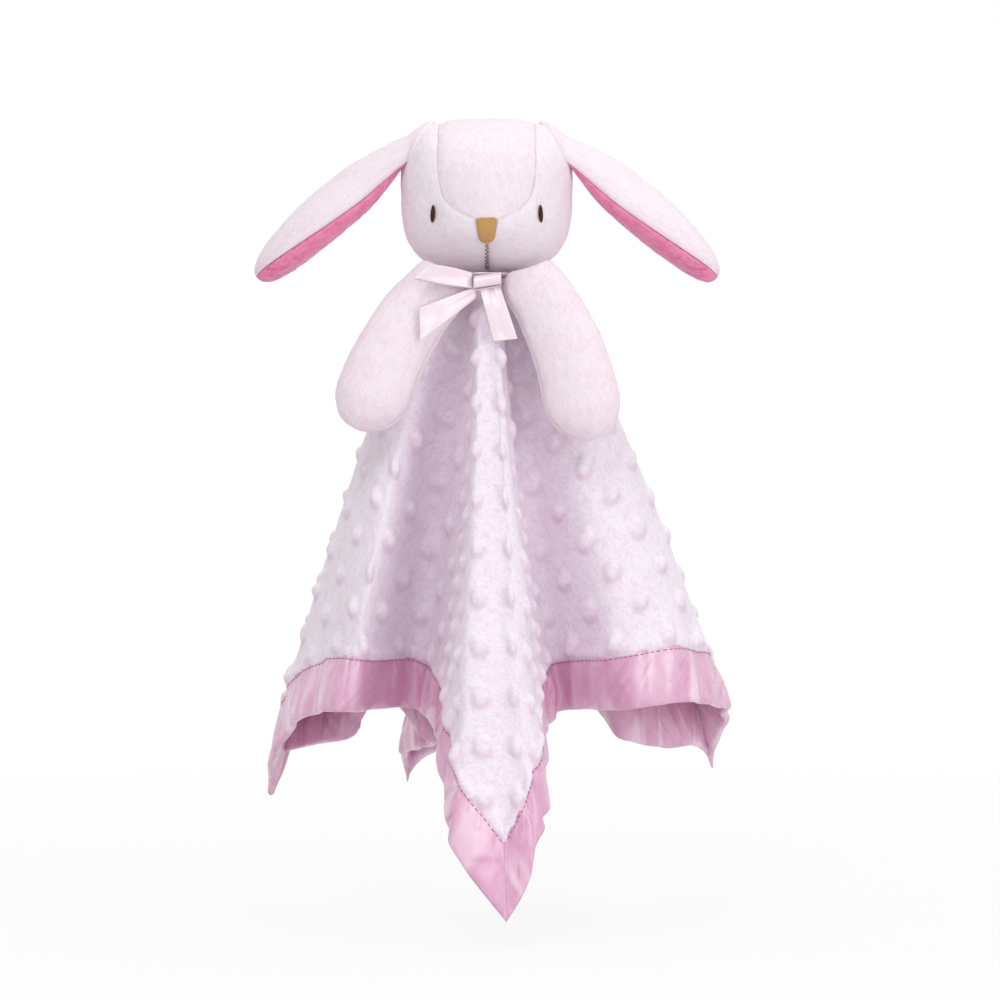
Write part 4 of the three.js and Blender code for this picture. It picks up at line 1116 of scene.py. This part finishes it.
ear_rows = np.sin(np.linspace(0, 1, 110) * math.pi / 2)[:, None]
ear_columns = np.linspace(-1, 1, 46)[None, :]
for way, side_name in ((-1, "left"), (1, "right")):
    ear_root = head_surface(ear_root_nod, way * side_angle(ear_root_share, ear_root_nod))
    ear_place = (Matrix.Translation(ear_root)
                 @ Matrix.Diagonal((way, 1, 1, 1))
                 @ Matrix.Rotation(math.radians(ear_sweep_back), 4, "Z")
                 @ Matrix.Rotation(math.radians(ear_droop), 4, "Y"))
    for face, label, slot_name, material in ((1, "plush", "short_plush", ear_plush),
                                             (-1, "lining", "ear_lining_plush", ear_lining_plush)):
        half, thick = ear_profile(ear_rows)
        reach = np.sin(ear_columns * math.pi / 2)
        puff = np.cos(ear_columns * math.pi / 2)
        to_edge = (1 - np.abs(ear_columns)) * half * 1.3
        along = ear_rows * (ear_length + ear_root_depth) - ear_root_depth
        plain = points_of(along, reach * half, face * (0.15 + thick * puff))
        relief = plush_relief(plain, to_edge, 81 + way + 4 * face) * np.minimum(1, thick / 3)
        pull_in = 0.9 * np.exp(-to_edge / 1.2) * (half > 1)
        lifted = face * (0.05 + np.maximum(thick * puff + relief * puff ** 0.5, 0))
        outer = rolled(along, reach * (half - pull_in), lifted)
        inner = rolled(along, reach * (half - pull_in), face * 0.05)
        root_share = root_inner_share + (root_outer_share - root_inner_share) * np.abs(reach) ** 1.5
        root_nod = 90 + root_spread * reach
        root_line = head_surface(root_nod, way * side_angle(root_share, root_nod))
        joined = (1 - ease(along, -ear_root_depth + 2, root_reach))[..., None]
        outer = (1 - joined) * moved(outer, ear_place) + joined * root_line
        inner = (1 - joined) * moved(inner, ear_place) + joined * root_line
        risen = (1.3 + 0.9 * puff) * ease(along, -ear_root_depth, -ear_root_depth + 5) - ear_sunk
        outer = clear_of_head(outer, -risen if face > 0 else ear_sunk)
        inner = clear_of_head(inner, ear_sunk)
        ear = two_faced(f"{side_name}_ear_{label}_cover", outer, inner, plain)
        dressed(ear, material, node_name=f"{side_name}_ear_{label}")
        if side_name == "left":
            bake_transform(ear)
        else:
            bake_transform(ear)


# Arms
# Each arm has a front and a back panel of short plush sewn along both edges and round the paw,
# stuffed through the shoulder, and sewn to the blanket beside the bow.
arm_length = 76.0
paw_width = 34.0
paw_thickness = 24.0
shoulder_width = 26.0
shoulder_thickness = 12.0
arm_yaw = 8.0
arm_bend = 33.0
arm_seam_turn = 20.0
shoulders = {-1: (-21.0, -19.6, -1.0, 62.0), 1: (21.0, -21.0, -1.0, 71.0)}
head_clearance = 1.0
inner_fullness = 1.3
chin_press = 0.3
press_softness = 1.3
arm_growth_shares = np.array([[0, 0], [0.12, 0.14], [0.35, 0.5], [0.6, 0.82], [0.82, 1], [1, 0.97]])
arm_plush = ear_plush


def arm_surface(share, ring, depth=0.0):
    """A point of an arm in its own frame: X out of the shoulder, Y across, Z out of the front."""
    share, ring = np.broadcast_arrays(share, ring)
    grow = smooth_rows(arm_growth_shares, share)[0]
    half_width = (shoulder_width + (paw_width - shoulder_width) * grow) / 2
    half_thick = (shoulder_thickness + (paw_thickness - shoulder_thickness) * grow) / 2
    paw_start = 1 - paw_width / 2 / arm_length
    shoulder_end = shoulder_width / 2 / arm_length
    to_paw = np.maximum(share - paw_start, 0) / (1 - paw_start)
    to_shoulder = np.maximum(shoulder_end - share, 0) / shoulder_end
    closing = np.sqrt(np.clip(1 - to_paw ** 2 - to_shoulder ** 2, 0, 1))
    along = -shoulder_width / 2 + depth + share * (arm_length + shoulder_width / 2 - 2 * depth)
    bend_radius = arm_length / math.radians(arm_bend)
    heading = (along / arm_length - 0.5) * math.radians(arm_bend)
    half = math.radians(arm_bend) / 2
    x = bend_radius * (np.sin(heading) + math.sin(half))
    y = bend_radius * (np.cos(heading) - math.cos(half))
    across = (np.cos(np.radians(ring)) * (half_width - depth) - inner_fullness) * closing
    out = np.sin(np.radians(ring)) * (half_thick - depth) * closing
    return points_of(x + np.sin(heading) * across, y + np.cos(heading) * across, out)


def clear_of_chin(points):
    """Points inside the space that the head turns in come straight out of it, and the chin
    presses the shoulders down."""
    power = squareness(-90)
    from_middle = points - [0, 0, head_centre]
    sideways = np.hypot(from_middle[..., 0], from_middle[..., 1]) / (head_half_width + head_clearance)
    down = np.abs(from_middle[..., 2]) / (head_radius + head_clearance)
    size = (sideways ** power + down ** power) ** (1 / power)
    clear = from_middle * np.maximum(1 / np.maximum(size, 1e-9), 1)[..., None] + [0, 0, head_centre]
    side_share = np.clip(np.abs(clear[..., 0]) / head_half_width, 0, 0.98)
    chin = head_centre - head_radius * (1 - side_share ** power) ** (1 / power) - chin_press
    clear[..., 2] = -np.logaddexp(-clear[..., 2] / press_softness, -chin / press_softness) * press_softness
    return clear


arm_rows = ((1 - np.cos(np.linspace(0, 1, 84) * math.pi)) / 2)[:, None]
arm_columns = np.linspace(0, 180, 44)[None, :]
for way, side_name in ((-1, "left"), (1, "right")):
    shoulder_x, shoulder_y, shoulder_z, arm_hang = shoulders[way]
    arm_place = (Matrix.Translation((shoulder_x, shoulder_y, shoulder_z))
                 @ Matrix.Diagonal((way, 1, 1, 1))
                 @ Matrix.Rotation(math.radians(-arm_yaw), 4, "Z")
                 @ Matrix.Rotation(math.radians(arm_hang), 4, "Y")
                 @ Matrix.Rotation(math.pi / 2, 4, "X"))
    for face, label in ((1, "front"), (-1, "back")):
        ring = face * arm_columns - arm_seam_turn
        plain = arm_surface(arm_rows, ring)
        edge_to_edge = arm_surface(arm_rows, 0 * ring) - arm_surface(arm_rows, 180 + 0 * ring)
        size = np.linalg.norm(edge_to_edge, axis=-1)
        to_seam = np.radians(np.minimum(arm_columns, 180 - arm_columns)) * size * 0.45
        relief = plush_relief(plain, to_seam, 91 + way + 4 * face) * np.minimum(1, size / 8)
        outer = arm_surface(arm_rows, ring, -relief * 0.9)
        inner = arm_surface(arm_rows, ring, cover_thickness)
        arm = two_faced(f"{side_name}_arm_{label}_cover", clear_of_chin(moved(outer, arm_place)),
                        clear_of_chin(moved(inner, arm_place)), plain)
        dressed(arm, arm_plush, node_name=f"{side_name}_arm_{label}")
        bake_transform(arm)
    filling_ring = np.arange(0, 360, 15)[None, :]
    filling_plain = arm_surface(arm_rows[::3], filling_ring, cover_thickness + stuffing_ease)
    arm_filling = filled(f"{side_name}_arm_fibre_filling",
                         clear_of_chin(moved(filling_plain, arm_place)), filling_plain)
    dressed(arm_filling, fibre, f"{side_name}_arm", f"{side_name}_arm_stuffing")


# Ribbon bow
# A narrow satin ribbon goes once round the neck and is tied in front in a small bow: a rolled
# loop and a long flat loop, a knot over both, and two tails with cut ends.
ribbon_width = 9.5
ribbon_thickness = 0.5
ribbon_skins = (0.05, ribbon_thickness - 0.05)
band_radius = 16.0
band_width = 3.6
band_level = 3.0
band_slope = 0.3
knot_front = 23.3
knot_width = 8.0
knot_height = 5.4
knot_depth = 5.2
roll_width = 12.2
roll_radius = 3.5
roll_offset = 0.3
roll_tilt = 0.16
roll_drop = 0.2
bow_height = -0.7
loop_length = 24.5
loop_depth = 7.0
loop_twist = 50.0
loop_start = 0.4
ribbon_sag = 2.0
tail_front = knot_front + seam_gap + roll_radius
ribbon_pink = (0.900, 0.710, 0.800, 1.0)
ribbon_light = (0.930, 0.800, 0.870, 1.0)
# The palest ribbon colour is painted highlight, laid in bands across the ribbon
ribbon_painted_highlight = (0.960, 0.900, 0.935, 1.0)

ribbon_satin = satin("ribbon_satin", (300.0, 4200.0, 4200.0), 220.0, (60.0, 170.0, 1.0),
                     (ribbon_pink, ribbon_light, ribbon_painted_highlight), 0.00005)


def unit(*parts):
    """A direction of length 1."""
    return np.array(parts) / np.linalg.norm(parts)


def dressed_ribbon(made, body, node_name):
    """Gives a ribbon piece its satin, body, node and slot."""
    return dressed(made, ribbon_satin, body, node_name)


band_turn = np.linspace(0, 2 * math.pi, 180, endpoint=False)[None, :]
band_across = np.linspace(-0.5, 0.5, 9)[:, None] * band_width
band_faces = []
for depth in ribbon_skins:
    away = band_radius + band_across * math.cos(band_slope) + depth * math.sin(band_slope)
    level = band_level + band_across * math.sin(band_slope) - depth * math.cos(band_slope)
    band_faces.append(points_of(away * np.cos(band_turn), away * np.sin(band_turn), level))
band_place = points_of(band_turn * band_radius, band_across, 0.0)
dressed_ribbon(two_faced("neck_ribbon", *band_faces, band_place, ring=True),
               "blanket", "ribbon_neck_band")

# The knot: a short roll of ribbon drawn tight, narrow at its middle, with folds along it
knot_turn = np.linspace(0, 2 * math.pi, 48, endpoint=False)[None, :]
knot_across = np.linspace(-1, 1, 25)[:, None]
knot_fold = 1 + 0.07 * np.cos(knot_across * 9 + 1.3 * np.sin(knot_turn))
knot_out, knot_up = (np.sign(reach) * np.abs(reach) ** 0.6 * knot_fold
                     for reach in (np.cos(knot_turn), np.sin(knot_turn)))
knot_rings = [points_of(
    roll_offset + knot_across * knot_width / 2,
    knot_depth / 2 - knot_front + knot_out * (knot_depth / 2 - thin),
    bow_height - roll_drop + knot_up * (knot_height / 2 - thin))
    for thin in (0.2, 0.2 + ribbon_thickness)]
knot_place = points_of(knot_turn * knot_height / 2, knot_across * knot_width / 2, 0.0)
dressed_ribbon(two_faced("bow_knot_wrap", *knot_rings, knot_place, ring=True), "blanket", "bow_knot")

# The right loop: ribbon rolled up on itself, one and a half turns, with its mouth to the right
roll_turn = np.radians(np.linspace(-80, 420, 90))[:, None]
roll_across = np.linspace(-0.5, 0.5, 22)[None, :] * roll_width
roll_in = np.linspace(0.0, 1.5, 90)[:, None]
roll_faces = []
for depth in (0.0, ribbon_thickness * 0.7):
    radius = roll_radius - 0.05 - roll_in - depth
    roll_faces.append(points_of(
        roll_offset + roll_across,
        -tail_front + np.cos(roll_turn) * radius,
        bow_height - roll_drop + np.sin(roll_turn) * radius + roll_tilt * roll_across))
roll_place = points_of(roll_turn * roll_radius, roll_across, 0.0)
dressed_ribbon(two_faced("bow_rolled_loop", *roll_faces, roll_place), "blanket", "bow_right_loop")

# The left loop: ribbon that runs out from the knot, turns back on itself and comes home
loop_heading = unit(-0.87, -0.45, 0.13)
loop_side = -unit(-loop_heading[1], loop_heading[0], 0.0)
loop_start_x = roll_offset - roll_width / 2 - seam_gap - loop_depth / 8
loop_from = np.array([loop_start_x, -knot_front - roll_radius / 2, bow_height])
loop_swing = np.radians(np.linspace(0, 180, 100))[:, None]
loop_across = np.linspace(-0.5, 0.5, 13)[None, :]
loop_faces = []
for depth in ribbon_skins:
    out = (loop_length - depth) * np.sin(loop_swing)
    belly = loop_start + (1 - loop_start) * np.sin(loop_swing)
    away = (loop_depth / 2 - depth) * np.cos(loop_swing) * belly
    twist = np.radians(loop_twist) * np.sin(loop_swing)
    across_way = np.concatenate([np.sin(twist), 0 * twist, np.cos(twist)], -1)
    curl = 0.5 * (loop_across ** 2) * np.sin(loop_swing)
    loop_faces.append(loop_from + out[..., None] * loop_heading + (away - curl)[..., None] * loop_side
                      + (loop_across * ribbon_width * (0.72 + 0.28 * np.sin(loop_swing)))[..., None]
                      * across_way[:, None, :])
loop_place = points_of(loop_swing * loop_length * 0.7, loop_across * ribbon_width, 0.0)
dressed_ribbon(two_faced("bow_long_loop", *loop_faces, loop_place), "blanket", "bow_left_loop")


def ribbon_tail(name, start, heading, length, start_across, end_across, body, node_name, seed):
    """A flat tail that hangs from the knot along a heading, pinched and folded where it starts."""
    down = np.linspace(0, 1, 60)[:, None]
    spread = np.linspace(-0.5, 0.5, 25)[None, :]
    across = start_across + (end_across - start_across) * down[..., None]
    pinch = 0.5 * np.cos(spread * 4 * math.pi) * np.exp(-down / 0.3)
    flat = points_of(down * length, spread * ribbon_width, 0.0)
    ripple = 0.35 * unevenness(flat, 7, seed) * ease(down, 0.1, 0.5)
    faces = []
    for depth in ribbon_skins:
        bow = -ribbon_sag * np.sin(down * math.pi) + pinch + ripple - depth
        faces.append(start + heading * (length * down)[..., None] + across * spread[..., None]
                     + bow[..., None] * np.array([0.0, 1.0, 0.0]))
    return dressed_ribbon(two_faced(name, *faces, flat), body, node_name)


left_tail_length = 30.0
left_tail_end = 14.5
left_tail_heading = unit(-0.82, -0.29, -0.49)
right_tail_length = 25.0
right_tail_end = ribbon_width * 1.12
right_tail_heading = unit(0.28, -0.13, -0.95)
tail_gather = ribbon_width * 0.55
tail_start_y = -tail_front + 2.8
ribbon_tail(
    "bow_left_ribbon_tail",
    np.array([roll_offset - roll_width / 2 + 1.0, tail_start_y, bow_height - tail_gather]),
    left_tail_heading, left_tail_length, np.array([0.0, 0.0, tail_gather]),
    np.array([-ribbon_thickness, 0.0, left_tail_end]), "left_tail", "bow_left_tail", 101)
ribbon_tail(
    "bow_right_ribbon_tail",
    np.array([roll_offset + 1.0, tail_start_y, bow_height - 2.6]),
    right_tail_heading, right_tail_length, np.array([ribbon_width, 0.0, -ribbon_thickness]),
    np.array([right_tail_end, 0.0, 2 * ribbon_thickness]), "right_tail", "bow_right_tail", 102)
